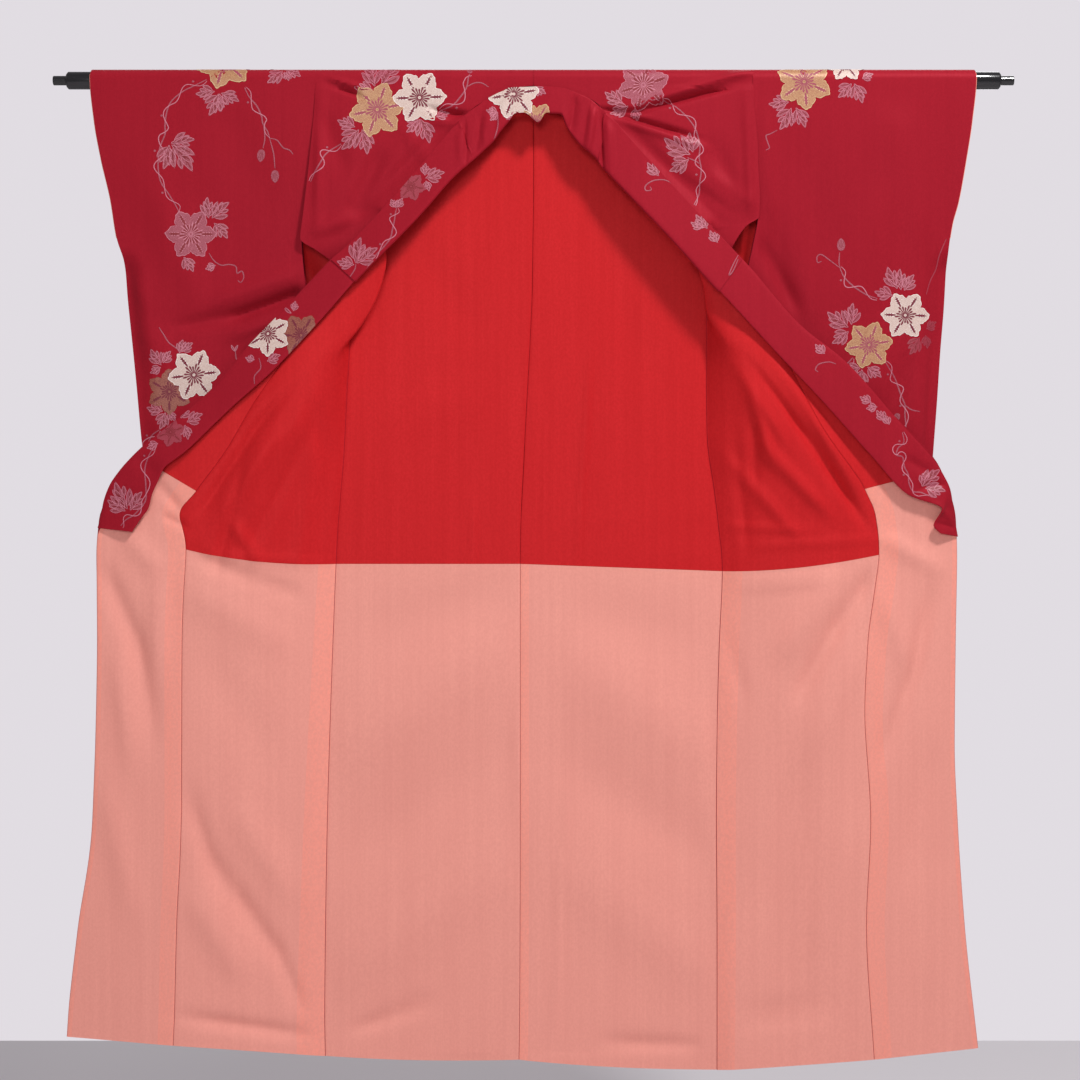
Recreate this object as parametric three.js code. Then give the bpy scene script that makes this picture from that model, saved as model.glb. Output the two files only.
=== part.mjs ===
// A lined woman's kimono on a rod, its fronts drawn open, so that the lining of back and fronts shows.
// Millimetres, +Z up, +X to the viewer's right, the viewer at -Y. The origin is on the rod's axis, at
// the middle of its length. Every cloth piece is a thin wall on a surface that runs through a short
// table of sections, and neighbouring pieces share the edges that they are sewn along.
import * as THREE from "three";

// ---- driving dimensions ----
const ROD_RADIUS = 13; // round hanging rod
const ROD_HALF_LENGTH = 700; // its thick barrel, from the middle to the chamfered end
const ROD_CHAMFER = 3;
const ROD_STUB_RADIUS = 7; // the turned pin that goes into the rack's post
const ROD_STUB_LENGTH = 20;
const CLOTH_RADIUS = 15.5; // middle of the outer cloth where it bends over the rod
const CLOTH_HALF = 0.6; // half the outer cloth's wall
const LINING_NEAR = 0.9; // from the middle of the outer cloth to the lining's two faces
const LINING_FAR = 1.9;
const SEAM_TRIM = 0.45; // each piece stops this far from the line that it is sewn along
const LINING_TRIM = 1.3; // the linings stop a little further from it
const LINING_TRIM_AT_COLLAR = 16; // and further still where the collar band closes on the panel
const COLOUR_GAP = 0.3; // half the gap where red lining meets salmon
const COLLAR_HALF = 1.5; // half the folded collar band
const COLLAR_LIFT = 2.6; // from the middle of the panel's edge to the middle of the band
const COLLAR_STAND = 10; // how far the band's free edge stands off the fronts
const COLLAR_STAND_AT_NECK = 4;
const OVER_COLLAR_LIFT = 2.65; // from the middle of the band to the middle of the over-collar
const OVER_COLLAR_HALF = 0.5;
const SLEEVE_BOTTOM = -604;
const SLEEVE_PINCH = 0.8; // half the way between the sleeve's layers where its cuff is sewn shut
const CUFF_OPENING_END = -240;
const CUFF_LINING_PROUD = 2; // the lining peeps out this far past the cuff's edge
const CUFF_LINING_DEEP = 40;

/** Names the columns of a table whose rows are lists of numbers. */
function table(columns, rows) {
  const names = columns.split(" ");
  return rows.map((row) => Object.fromEntries(names.map((name, i) => [name, row[i]])));
}

// Depth of the line that each front is sewn to the collar and to its overlap panel along, by height.
const SEAM_DEPTH = table("z y", [
  [-1490, -12], [-1110, -15], [-860, -18], [-680, -20], [-560, -24], [-400, -27],
  [-235, -25], [-120, -20], [-60, -17.5], [-14, -15.6], [0, -15.5],
]);
// Depth of the front's side edge: in front of the rod, then back to the side seam.
const SIDE_DEPTH = table("z y", [
  [-1490, 11.5], [-385, 11.5], [-344, 8], [-307, -2], [-274, -12], [-239, -21], [-120, -18.5], [0, -15.5],
]);
// Half the way between a sleeve's front and back layers, by height.
const SLEEVE_DEPTH = table("z y", [[-604, 4], [-400, 7], [-250, 10], [-100, 14], [0, 15.5]]);

// Each back: the side seam and the centre seam, from the hem up to the rod.
const LEFT_BACK = table("sideX sideZ innerX innerZ bow", [
  [-315, -1466, -22, -1472, 3], [-316, -1402, -21, -1402, 2], [-312, -1109, -20, -1109, 1],
  [-299, -725, -20, -725, 0], [-287, -557, -14, -557, 0], [-278, -385, -5, -385, 0],
  [-341, -318, -2, -312, 0], [-347, -239, -1, -239, 0], [-338, -161, 0, -161, 0],
  [-328, -62, 0, -62, 0], [-325, -17, 0, -17, 0],
]);
const RIGHT_BACK = table("sideX sideZ innerX innerZ bow", [
  [278, -1487, -22, -1472, 3], [278, -1402, -21, -1402, 2], [277, -1109, -20, -1109, 1],
  [286, -736, -20, -725, 0], [263, -529, -14, -557, 0], [262, -359, -5, -385, 0],
  [322, -288, -2, -312, 0], [336, -206, -1, -239, 0], [335, -134, 0, -161, 0],
  [331, -62, 0, -62, 0], [328, -17, 0, -17, 0],
]);

// Each front, from the rod to the hem: its side edge, the point that its cloth is drawn towards
// between its edges (a section is a parabola that leaves its edges towards it), its inner edge (neck
// seam, collar seam, then the seam to the overlap panel), and the overlap panel's other edge (collar
// seam, then the free front edge). Where the front turns over, the drawn point lies far to the inside.
const FRONT_COLUMNS = "sideX sideZ drawX drawY drawZ innerX innerZ edgeX edgeZ";
const LEFT_FRONT = table(FRONT_COLUMNS, [
  [-325, -17, -163, -16, -16, -34, -14, -34, -14],
  [-326, -37, -185, -17, -32, -67, -29, -67, -29],
  [-328, -62, -212, -18, -59, -103, -56, -103, -56],
  [-332, -104, -238, -20, -107, -157, -118, -157, -118],
  [-338, -161, -263, -21, -172, -211, -181, -211, -181],
  [-343, -203, -170, -17, -212, -239, -212, -239, -212],
  [-347, -239, -155, -10, -244, -262, -236, -265, -239],
  [-323, -257, -146, -4, -281, -277, -260, -286, -259],
  [-301, -274, -158, -2, -322, -292, -286, -310, -281],
  [-284, -307, -188, -8, -367, -313, -322, -341, -314],
  [-278, -344, -225, -20, -397, -341, -367, -379, -355],
  [-278, -385, -283, -40, -437, -376, -427, -431, -409],
  [-283, -472, -323, -46, -497, -415, -484, -475, -461],
  [-287, -557, -365, -42, -562, -458, -557, -545, -521],
  [-293, -629, -403, -34, -629, -502, -616, -620, -592],
  [-297, -680, -407, -27, -683, -518, -659, -647, -659],
  [-299, -725, -410, -23, -728, -520, -703, -651, -719],
  [-304, -854, -413, -16, -854, -524, -839, -650, -839],
  [-312, -1109, -419, -10, -1109, -526, -1109, -658, -1109],
  [-315, -1289, -424, -4, -1289, -533, -1271, -680, -1267],
  [-316, -1402, -425, -8, -1400, -536, -1394, -694, -1387],
  [-315, -1466, -418, -10, -1453, -538, -1444, -697, -1431],
]);
const RIGHT_FRONT = table(FRONT_COLUMNS, [
  [328, -17, 175, -16, -16, 41, -14, 41, -14],
  [329, -37, 197, -17, -32, 64, -22, 64, -22],
  [331, -62, 212, -18, -52, 92, -35, 92, -35],
  [334, -97, 227, -19, -82, 116, -61, 116, -61],
  [335, -134, 250, -20, -127, 170, -119, 170, -119],
  [337, -172, 287, -21, -182, 238, -194, 238, -194],
  [336, -206, 235, -16, -227, 272, -229, 275, -232],
  [317, -221, 183, -10, -254, 286, -248, 295, -254],
  [299, -247, 192, -8, -292, 299, -272, 317, -278],
  [283, -284, 214, -8, -329, 317, -307, 347, -313],
  [268, -325, 235, -18, -374, 337, -346, 377, -346],
  [262, -359, 283, -40, -427, 358, -386, 409, -380],
  [262, -442, 328, -48, -479, 388, -443, 457, -418],
  [263, -529, 358, -42, -550, 428, -521, 520, -487],
  [274, -614, 377, -34, -622, 467, -599, 610, -589],
  [280, -666, 388, -27, -671, 491, -647, 629, -659],
  [286, -736, 392, -23, -737, 501, -719, 631, -719],
  [281, -854, 388, -16, -854, 490, -847, 629, -854],
  [278, -977, 385, -14, -977, 494, -949, 628, -989],
  [277, -1109, 389, -10, -1109, 503, -1109, 633, -1109],
  [278, -1289, 388, -4, -1286, 497, -1267, 644, -1267],
  [278, -1487, 392, -10, -1476, 509, -1465, 664, -1448],
]);
// The rows at which the cloth's sections lie, counted along the tables above.
const BACK_ROWS = [0, 0.5, 1, 1.5, 2, 2.5, 3, 4, 5, 6, 7, 8, 9, 9.35, 10];
const FRONT_ROWS = [
  0, 1, 2, 3, 4, 5, 5.5, 6, 6.5, 7, 7.5, 8, 8.5, 9, 9.5, 10, 10.5, 11, 11.5,
  12, 12.5, 13, 13.5, 14, 14.5, 15, 15.5, 16, 17, 17.5, 18, 18.5, 19, 19.5, 20, 21,
];
const OVERLAP_TOP = 6; // tip of the overlap panel, on the collar seam
const FRONT_LINING_TOP = 7.5; // the lining shows from where the front turns over
const OVERLAP_LINING_TOP = 11;
const OVERLAP_SALMON = 14; // the lining changes from red to salmon here on the overlap panel
const COLLAR_END = 15; // the overlap panel's edge is free from here on
const FRONT_SALMON = 16; // red to salmon on the front
const BACK_SALMON = 3; // and on the back
const BACK_LINING_TOP = 9.35; // the back lining starts behind the collar

// The folded collar band, from the viewer's left end round the neck to the right end: the edge that
// is sewn to the fronts and the neck, and the folded free edge.
const COLLAR = table("seamX seamZ freeX freeZ", [
  [-649, -671, -596, -677], [-644, -652, -583, -658], [-640, -632, -571, -641], [-631, -608, -566, -622],
  [-616, -586, -557, -602], [-586, -554, -548, -583], [-545, -521, -515, -557], [-482, -469, -449, -494],
  [-424, -401, -385, -437], [-350, -325, -310, -357], [-301, -272, -265, -305], [-275, -250, -246, -285],
  [-211, -181, -172, -209], [-157, -118, -119, -148], [-103, -56, -83, -115], [-83, -41, -59, -92],
  [-67, -29, -52, -79], [-46, -19, -38, -62], [-34, -14, -29, -52], [-5, -13, -5, -58],
  [10, -12, 11, -61], [28, -13, 29, -55], [41, -14, 41, -56], [64, -22, 52, -68],
  [85, -32, 65, -92], [103, -47, 94, -119], [117, -60, 104, -133], [170, -119, 138, -170],
  [238, -194, 203, -239], [296, -256, 262, -305], [326, -288, 290, -335], [395, -368, 358, -409],
  [464, -424, 427, -482], [535, -503, 499, -562], [605, -583, 559, -620], [620, -617, 589, -635],
  [625, -641, 595, -656], [629, -685, 604, -679],
]);
const COLLAR_ROWS = Array.from({ length: 75 }, (_, i) => i / 2);
const OVER_COLLAR_FROM = 10; // rows of the band that the over-collar covers
const OVER_COLLAR_TO = 29.5;

// Each sleeve, by height: its cuff edge, and its edge at the body, sewn on down to the arm opening.
const LEFT_CUFF = table("z x", [
  [-604, -578], [-554, -586], [-449, -596], [-389, -602], [-331, -608], [-272, -613],
  [-238, -623], [-181, -632], [-119, -646], [-62, -656], [4, -662], [16, -661],
]);
const RIGHT_CUFF = table("z x", [
  [-604, 596], [-562, 599], [-482, 605], [-406, 610], [-344, 615], [-262, 620],
  [-218, 626], [-184, 635], [-122, 646], [-62, 655], [4, 661], [16, 660],
]);
const LEFT_ARMHOLE = table("z x", [
  [-604, -337], [-479, -338], [-323, -341], [-239, -347], [-203, -343], [-161, -338],
  [-104, -332], [-62, -328], [-37, -326], [-17, -325], [16, -325],
]);
const RIGHT_ARMHOLE = table("z x", [
  [-604, 319], [-479, 320], [-284, 322], [-251, 328], [-206, 336], [-172, 337],
  [-134, 335], [-97, 334], [-62, 331], [-37, 329], [-17, 328], [16, 328],
]);
const SLEEVE_COLUMNS = [0, 0.03, 0.1, 0.25, 0.5, 0.75, 1]; // shares of the sleeve's width, from the cuff
const SLEEVE_LEVELS = [-17, -40, -75, -120, -180, -240, -272, -310, -360, -420, -480, -540, -585];

// ---- colours and finishes ----
const FINISH = {
  silk: { color: 0xa4202f, roughness: 0.5, metalness: 0 },
  redLining: { color: 0xc9262d, roughness: 0.6, metalness: 0 },
  salmonLining: { color: 0xe38e83, roughness: 0.6, metalness: 0 },
  lacquer: { color: 0x0b0b0c, roughness: 0.2, metalness: 0 },
};

// ---- reading the tables ----

/** Slope of a smooth curve at each row of a table, level where the values turn, so none overshoots. */
function slopes(keys, values) {
  const rise = values.slice(1).map((value, i) => (value - values[i]) / (keys[i + 1] - keys[i]));
  return values.map((_, i) => {
    if (i === 0) return rise[0];
    if (i === values.length - 1) return rise[i - 1];
    const [before, after] = [rise[i - 1], rise[i]];
    return before * after <= 0 ? 0 : (2 * before * after) / (before + after);
  });
}

/** Makes a reader of a table: given a key, it returns every column on smooth curves through the rows. */
function reader(rows, key) {
  const keys = rows.map((row, i) => (key ? row[key] : i));
  const columns = Object.keys(rows[0]).map((name) => {
    const values = rows.map((row) => row[name]);
    return { name, values, slope: slopes(keys, values) };
  });
  return (at) => {
    let i = 0;
    while (i < keys.length - 2 && at > keys[i + 1]) i += 1;
    const step = keys[i + 1] - keys[i];
    const t = Math.min(Math.max((at - keys[i]) / step, 0), 1);
    const [a, b] = [t * t * (3 - 2 * t), t * (1 - t)];
    return Object.fromEntries(columns.map(({ name, values, slope }) => [
      name,
      values[i] * (1 - a) + values[i + 1] * a + step * b * ((1 - t) * slope[i] - t * slope[i + 1]),
    ]));
  };
}

const seamDepth = reader(SEAM_DEPTH, "z");
const sideDepth = reader(SIDE_DEPTH, "z");
const sleeveDepth = reader(SLEEVE_DEPTH, "z");
const mix = (a, b, t) => a + (b - a) * t;
const clamp = (t) => Math.min(Math.max(t, 0), 1);
const smoothStep = (t) => clamp(t) ** 2 * (3 - 2 * clamp(t));
/** Evenly spaced numbers from one value to another, both ends included. */
const spread = (from, to, count) => Array.from({ length: count }, (_, i) => mix(from, to, i / (count - 1)));
const point = (x, y, z) => new THREE.Vector3(x, y, z);

// ---- surfaces: lists of sections, each a list of points ----

/** A parabola between two edges, drawn towards a third point. */
function drawn(from, towards, to, shares) {
  return shares.map((t) => from.clone().multiplyScalar((1 - t) ** 2)
    .addScaledVector(towards, 2 * t * (1 - t))
    .addScaledVector(to, t * t));
}

/** Back sections, from the hem up to the rod. */
function backSections(back, shares) {
  const readBack = reader(back);
  return BACK_ROWS.map((row) => {
    const { sideX, sideZ, innerX, innerZ, bow } = readBack(row);
    const middle = point((sideX + innerX) / 2, CLOTH_RADIUS + 2 * bow, (sideZ + innerZ) / 2 - 3 * bow);
    return drawn(point(sideX, CLOTH_RADIUS, sideZ), middle, point(innerX, CLOTH_RADIUS, innerZ), shares);
  });
}

/** Front sections, from the rod down to the hem. */
function frontSections(front, shares) {
  const readFront = reader(front);
  return FRONT_ROWS.map((row) => {
    const { sideX, sideZ, drawX, drawY, drawZ, innerX, innerZ } = readFront(row);
    const side = point(sideX, sideDepth(sideZ).y, sideZ);
    const inner = point(innerX, seamDepth(innerZ).y, innerZ);
    return drawn(side, point(drawX, drawY, drawZ), inner, shares);
  });
}

/** The half turn over the rod between back and front, at the width of the shoulder. */
function overRod(sideX, shares) {
  return spread(10, 170, 6).map((degrees) => {
    const angle = THREE.MathUtils.degToRad(degrees);
    return shares.map((t) => point(mix(sideX, 0, t), CLOTH_RADIUS * Math.cos(angle), CLOTH_RADIUS * Math.sin(angle)));
  });
}

/** Overlap panel sections, between the seam to the front and the collar seam or free edge. */
function overlapSections(front, shares) {
  const readFront = reader(front);
  return FRONT_ROWS.filter((row) => row >= OVERLAP_TOP).map((row) => {
    const { innerX, innerZ, edgeX, edgeZ } = readFront(row);
    const inner = point(innerX, seamDepth(innerZ).y, innerZ);
    const edge = point(edgeX, seamDepth(edgeZ).y, edgeZ);
    return shares.map((t) => inner.clone().lerp(edge, t));
  });
}

/** Collar band sections, from the sewn edge to the free edge, which stands off the fronts. */
function collarSections(rows, shares) {
  const readCollar = reader(COLLAR);
  return rows.map((row) => {
    const { seamX, seamZ, freeX, freeZ } = readCollar(row);
    const depth = seamDepth(seamZ).y - COLLAR_LIFT;
    const stand = mix(COLLAR_STAND_AT_NECK, COLLAR_STAND, smoothStep(-seamZ / 240));
    return shares.map((t) => point(mix(seamX, freeX, t), depth - stand * t, mix(seamZ, freeZ, t)));
  });
}

/** Sleeve rings round the rod, from the cuff to the body: down the back, under, and up the front. */
function sleeveSections(cuff, armhole, shares) {
  const [readCuff, readArmhole] = [reader(cuff, "z"), reader(armhole, "z")];
  const acrossAt = (share, z) => mix(readCuff(z).x, readArmhole(z).x, share);
  const layer = (share, z, side) => {
    const shut = smoothStep((CUFF_OPENING_END - 12 - z) / 40) * (1 - smoothStep(share / 0.12));
    return point(acrossAt(share, z), side * mix(sleeveDepth(z).y, SLEEVE_PINCH, shut), z);
  };
  return shares.map((share) => {
    const top = spread(180, 0, 7).map((degrees) => {
      const angle = THREE.MathUtils.degToRad(degrees);
      const z = CLOTH_RADIUS * Math.sin(angle);
      return point(acrossAt(share, z), CLOTH_RADIUS * Math.cos(angle), z);
    });
    const back = SLEEVE_LEVELS.map((z) => layer(share, z, 1));
    const bottom = point(acrossAt(share, SLEEVE_BOTTOM), 0, SLEEVE_BOTTOM);
    const front = SLEEVE_LEVELS.map((z) => layer(share, z, -1)).reverse();
    return [...top, ...back, bottom, ...front];
  });
}

/** The stretch of the sleeve's rings above the cuff opening's end, front to back over the rod. */
function cuffSections(cuff, armhole) {
  const width = Math.abs(reader(cuff, "z")(0).x - reader(armhole, "z")(0).x);
  const rings = sleeveSections(cuff, armhole, spread(-CUFF_LINING_PROUD / width, CUFF_LINING_DEEP / width, 3));
  return rings.map((ring) => {
    const open = ring.filter((p) => p.z >= CUFF_OPENING_END);
    const front = open.filter((p) => p.y < 0 && p.z < -1);
    return [...front, ...open.filter((p) => !front.includes(p))];
  });
}

// ---- walls ----

/** Gives every point of the sections its normal; `side` is 1 or -1, to make it face out of the cloth. */
function facing(sections, side = 1, ring = false) {
  const last = sections.length - 1;
  return sections.map((section, v) => section.map((at, u) => {
    const count = section.length;
    const before = ring ? (u + count - 1) % count : Math.max(u - 1, 0);
    const after = ring ? (u + 1) % count : Math.min(u + 1, count - 1);
    const across = section[after].clone().sub(section[before]);
    const along = sections[Math.min(v + 1, last)][u].clone().sub(sections[Math.max(v - 1, 0)][u]);
    return { at, normal: across.cross(along).setLength(side) };
  }));
}

/** A point of the surface, moved a distance towards another one. */
const towards = (from, to, by) => ({
  at: from.at.clone().add(to.at.clone().sub(from.at).setLength(by)),
  normal: from.normal,
});

/** Moves the first and last point of every section inwards, to leave the gap at the sewn lines. */
function trimmed(surface, atStart, atEnd) {
  return surface.map((section, v) => {
    const by = typeof atEnd === "function" ? atEnd(v) : atEnd;
    const middle = section.slice(1, -1);
    return [towards(section[0], section[1], atStart), ...middle, towards(section.at(-1), section.at(-2), by)];
  });
}

/** Some of the surface's sections, each end of them moved inwards by its gap. */
function stretch(surface, from, to, gapAtStart, gapAtEnd) {
  const rows = surface.slice(from, to + 1);
  const move = (row, next, gap) => (gap ? row.map((p, u) => towards(p, next[u], gap)) : row);
  return [move(rows[0], rows[1], gapAtStart), ...rows.slice(1, -1), move(rows.at(-1), rows.at(-2), gapAtEnd)];
}

/** One closed wall between two offsets from the surface; `profile` may thin it towards its edges. */
function wall(surface, near, far, { ring = false, profile = null } = {}) {
  const columns = surface[0].length;
  const positions = [];
  for (const offset of [near, far]) {
    surface.forEach((section) => section.forEach(({ at, normal }, u) => {
      const scale = profile ? profile[u] : 1;
      positions.push(...at.clone().addScaledVector(normal, offset * scale).toArray());
    }));
  }
  const layer = surface.length * columns;
  const id = (v, u, face) => face * layer + v * columns + (u % columns);
  const index = [];
  const quad = (a, b, c, d) => index.push(a, b, c, a, c, d);
  const spans = ring ? columns : columns - 1;
  for (let v = 0; v < surface.length - 1; v += 1) {
    for (let u = 0; u < spans; u += 1) {
      quad(id(v, u, 0), id(v, u + 1, 0), id(v + 1, u + 1, 0), id(v + 1, u, 0));
      quad(id(v, u, 1), id(v + 1, u, 1), id(v + 1, u + 1, 1), id(v, u + 1, 1));
    }
    if (!ring) {
      const end = columns - 1;
      quad(id(v, 0, 0), id(v + 1, 0, 0), id(v + 1, 0, 1), id(v, 0, 1));
      quad(id(v, end, 0), id(v, end, 1), id(v + 1, end, 1), id(v + 1, end, 0));
    }
  }
  const last = surface.length - 1;
  for (let u = 0; u < spans; u += 1) {
    quad(id(0, u, 0), id(0, u, 1), id(0, u + 1, 1), id(0, u + 1, 0));
    quad(id(last, u, 0), id(last, u + 1, 0), id(last, u + 1, 1), id(last, u, 1));
  }
  const geometry = new THREE.BufferGeometry();
  geometry.setAttribute("position", new THREE.Float32BufferAttribute(positions, 3));
  geometry.setIndex(volume(positions, index) > 0 ? index : index.reverse());
  geometry.computeVertexNormals();
  return geometry;
}

/** Signed volume inside the triangles, positive when they face outwards. */
function volume(positions, index) {
  let total = 0;
  const [a, b, c] = [point(), point(), point()];
  for (let i = 0; i < index.length; i += 3) {
    [a, b, c].forEach((corner, k) => corner.fromArray(positions, 3 * index[i + k]));
    total += a.dot(b.cross(c)) / 6;
  }
  return total;
}

// ---- the pieces ----
const kimono = new THREE.Group();

/** Adds a piece with a finish of its own. */
function add(name, geometry, finish) {
  const mesh = new THREE.Mesh(geometry, new THREE.MeshStandardMaterial(FINISH[finish]));
  mesh.name = name;
  kimono.add(mesh);
  return mesh;
}

/** The rod: a barrel with chamfered ends and a turned pin at each end. */
function addRod() {
  const end = ROD_HALF_LENGTH;
  const half = [
    [ROD_RADIUS, end - ROD_CHAMFER], [ROD_RADIUS - ROD_CHAMFER, end],
    [ROD_STUB_RADIUS, end], [ROD_STUB_RADIUS, end + ROD_STUB_LENGTH], [0, end + ROD_STUB_LENGTH],
  ];
  const lower = half.map(([r, along]) => new THREE.Vector2(r, -along)).reverse();
  const upper = half.map(([r, along]) => new THREE.Vector2(r, along));
  const rod = add("rod", new THREE.LatheGeometry([...lower, ...upper], 24), "lacquer");
  rod.rotation.z = -Math.PI / 2;
}

/** Front and back of one side, in one length over the shoulder, with their linings. */
function addBody(name, back, front, side) {
  const shares = spread(0, 1, 9);
  const up = backSections(back, shares);
  const over = overRod(back.at(-1).sideX, shares);
  const surface = facing([...up, ...over, ...frontSections(front, shares)], side);
  add(`body_${name}`, wall(trimmed(surface, SEAM_TRIM, SEAM_TRIM), CLOTH_HALF, -CLOTH_HALF), "silk");

  const backRow = (row) => BACK_ROWS.indexOf(row);
  const frontRow = (row) => up.length + over.length + FRONT_ROWS.indexOf(row);
  const last = surface.length - 1;
  const line = (piece, from, to, gaps, finish) => {
    const part = trimmed(stretch(surface, from, to, ...gaps), LINING_TRIM, LINING_TRIM);
    add(piece, wall(part, -LINING_NEAR, -LINING_FAR), finish);
  };
  const gap = COLOUR_GAP;
  line(`lining_back_${name}`, backRow(BACK_SALMON), backRow(BACK_LINING_TOP), [gap, 0], "redLining");
  line(`hem_lining_back_${name}`, 0, backRow(BACK_SALMON), [0, gap], "salmonLining");
  line(`lining_front_${name}`, frontRow(FRONT_LINING_TOP), frontRow(FRONT_SALMON), [0, gap], "redLining");
  line(`hem_lining_front_${name}`, frontRow(FRONT_SALMON), last, [gap, 0], "salmonLining");
}

/** The overlap panel of one side, with its lining. */
function addOverlap(name, front, side) {
  const surface = facing(overlapSections(front, spread(0, 1, 4)), side);
  add(`overlap_${name}`, wall(trimmed(surface, SEAM_TRIM, SEAM_TRIM), CLOTH_HALF, -CLOTH_HALF), "silk");
  const rowOf = (row) => FRONT_ROWS.indexOf(row) - FRONT_ROWS.indexOf(OVERLAP_TOP);
  const line = (piece, from, to, gaps, finish) => {
    const part = stretch(surface, from, to, ...gaps);
    const atEdge = (v) => (from + v <= rowOf(COLLAR_END) ? LINING_TRIM_AT_COLLAR : LINING_TRIM);
    add(piece, wall(trimmed(part, LINING_TRIM, atEdge), -LINING_NEAR, -LINING_FAR), finish);
  };
  const gap = COLOUR_GAP;
  const change = rowOf(OVERLAP_SALMON);
  line(`lining_overlap_${name}`, rowOf(OVERLAP_LINING_TOP), change, [0, gap], "redLining");
  line(`hem_lining_overlap_${name}`, change, surface.length - 1, [gap, 0], "salmonLining");
}

/** The folded collar band, and the over-collar that wraps its middle stretch. */
function addCollar() {
  const shares = [0, 0.1, 0.5, 0.9, 1];
  const thick = [0.5, 1, 1, 1, 0.5];
  const band = facing(collarSections(COLLAR_ROWS, shares));
  add("collar", wall(band, COLLAR_HALF, -COLLAR_HALF, { profile: thick }), "silk");

  // Round the free edge: front face, edge, back face. Shares of the width, then lifts off the band.
  const round = table("share lift", [
    [0.04, 1], [0.3, 1], [0.6, 1], [0.94, 1], [1.035, 0.6], [1.05, 0],
    [1.035, -0.6], [0.94, -1], [0.6, -1], [0.4, -1],
  ]);
  const rows = COLLAR_ROWS.filter((row) => row >= OVER_COLLAR_FROM && row <= OVER_COLLAR_TO);
  const base = collarSections(rows, round.map(({ share }) => share));
  const middle = facing(collarSections(rows, [0, 0.5, 1])).map((section) => section[1].normal);
  const front = Math.sign(-middle[0].y);
  const wrap = base.map((section, v) => section.map((p, u) => (
    p.addScaledVector(middle[v], front * round[u].lift * OVER_COLLAR_LIFT)
  )));
  add("over_collar", wall(facing(wrap), OVER_COLLAR_HALF, -OVER_COLLAR_HALF), "silk");
}

/** A sleeve round the rod, and the edge of its lining that shows at the cuff. */
function addSleeve(name, cuff, armhole, side) {
  const rings = sleeveSections(cuff, armhole, SLEEVE_COLUMNS);
  rings.at(-1).forEach((p) => { p.x -= side * SEAM_TRIM; });
  add(`sleeve_${name}`, wall(facing(rings, side, true), CLOTH_HALF, -CLOTH_HALF, { ring: true }), "silk");
  const lining = facing(cuffSections(cuff, armhole), side);
  add(`cuff_lining_${name}`, wall(lining, LINING_NEAR, LINING_FAR), "salmonLining");
}

addRod();
addBody("left", LEFT_BACK, LEFT_FRONT, -1);
addBody("right", RIGHT_BACK, RIGHT_FRONT, 1);
addOverlap("left", LEFT_FRONT, -1);
addOverlap("right", RIGHT_FRONT, 1);
addCollar();
addSleeve("left", LEFT_CUFF, LEFT_ARMHOLE, 1);
addSleeve("right", RIGHT_CUFF, RIGHT_ARMHOLE, -1);

export default kimono;
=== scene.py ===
"""A lined woman's kimono on its rod, the fronts drawn open: silk, linings, woven clematis sprays."""

import logging
import math
from dataclasses import dataclass, field
from enum import Enum

import bpy
import numpy as np
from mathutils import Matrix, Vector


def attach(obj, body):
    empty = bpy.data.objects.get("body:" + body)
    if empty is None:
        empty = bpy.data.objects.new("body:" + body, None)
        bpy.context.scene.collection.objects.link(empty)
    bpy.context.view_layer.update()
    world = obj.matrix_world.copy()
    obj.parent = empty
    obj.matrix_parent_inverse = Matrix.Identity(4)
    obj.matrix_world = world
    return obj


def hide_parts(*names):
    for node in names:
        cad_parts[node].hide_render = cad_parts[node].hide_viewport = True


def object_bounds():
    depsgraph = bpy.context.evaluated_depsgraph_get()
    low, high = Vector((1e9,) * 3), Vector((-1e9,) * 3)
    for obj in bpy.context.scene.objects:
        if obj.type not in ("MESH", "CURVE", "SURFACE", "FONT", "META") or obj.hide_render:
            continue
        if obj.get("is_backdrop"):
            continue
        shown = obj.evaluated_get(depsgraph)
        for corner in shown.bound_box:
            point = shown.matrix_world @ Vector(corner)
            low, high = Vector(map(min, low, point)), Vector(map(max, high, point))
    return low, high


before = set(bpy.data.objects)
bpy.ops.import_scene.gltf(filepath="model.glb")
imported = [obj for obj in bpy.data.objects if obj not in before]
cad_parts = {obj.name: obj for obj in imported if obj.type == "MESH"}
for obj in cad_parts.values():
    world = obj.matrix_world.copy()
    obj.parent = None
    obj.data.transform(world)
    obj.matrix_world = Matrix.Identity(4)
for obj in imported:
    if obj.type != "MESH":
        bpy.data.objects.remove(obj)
CAD_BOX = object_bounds()

log = logging.getLogger("kimono")
MM = 0.001  # the tables below are in millimetres
BODY = "root"

# ---- driving sizes, in millimetres ----
CLOTH_RADIUS = 15.5  # middle of the outer cloth where it bends over the rod
CLOTH_HALF = 0.6  # half of the outer cloth's thickness
OVER_ROD = math.pi * CLOTH_RADIUS  # way over the rod, from the back to the front
ROD_SINK = 1.2  # how deep a fold may dip where the cloth lies on the rod
LINING_NEAR = 0.9  # the lining's two faces, behind the middle of the outer cloth
LINING_FAR = 1.9
LINING_TRIM = 0.3  # gap between a lining's edge and its seam
LINING_TRIM_AT_COLLAR = 16.0
SEAM_STEP = 1.9  # the front's side edge lies this far before the back's
SEAM_OVERLAP = 1.3  # and runs this far past it
SEAM_REACH = 25.0  # width over which the front is eased to that seam
SEAM_TRIM = -0.4  # the cloth runs on a little into the seams, so that they are closed
SEAM_TUCK = (0.62, 0.8, 0.95)  # how far a lining lies off the cloth at a seam, as shares of its offset
COLOUR_GAP = 0.1  # between the red lining and the salmon one
BACK_HEM = -1466.0
COLLAR_HALF = 1.5
COLLAR_LIFT = 2.6  # the collar's seam lies this far before the fronts
COLLAR_STAND = 10.0  # how far its free edge stands off them
COLLAR_STAND_AT_NECK = 4.0
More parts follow.
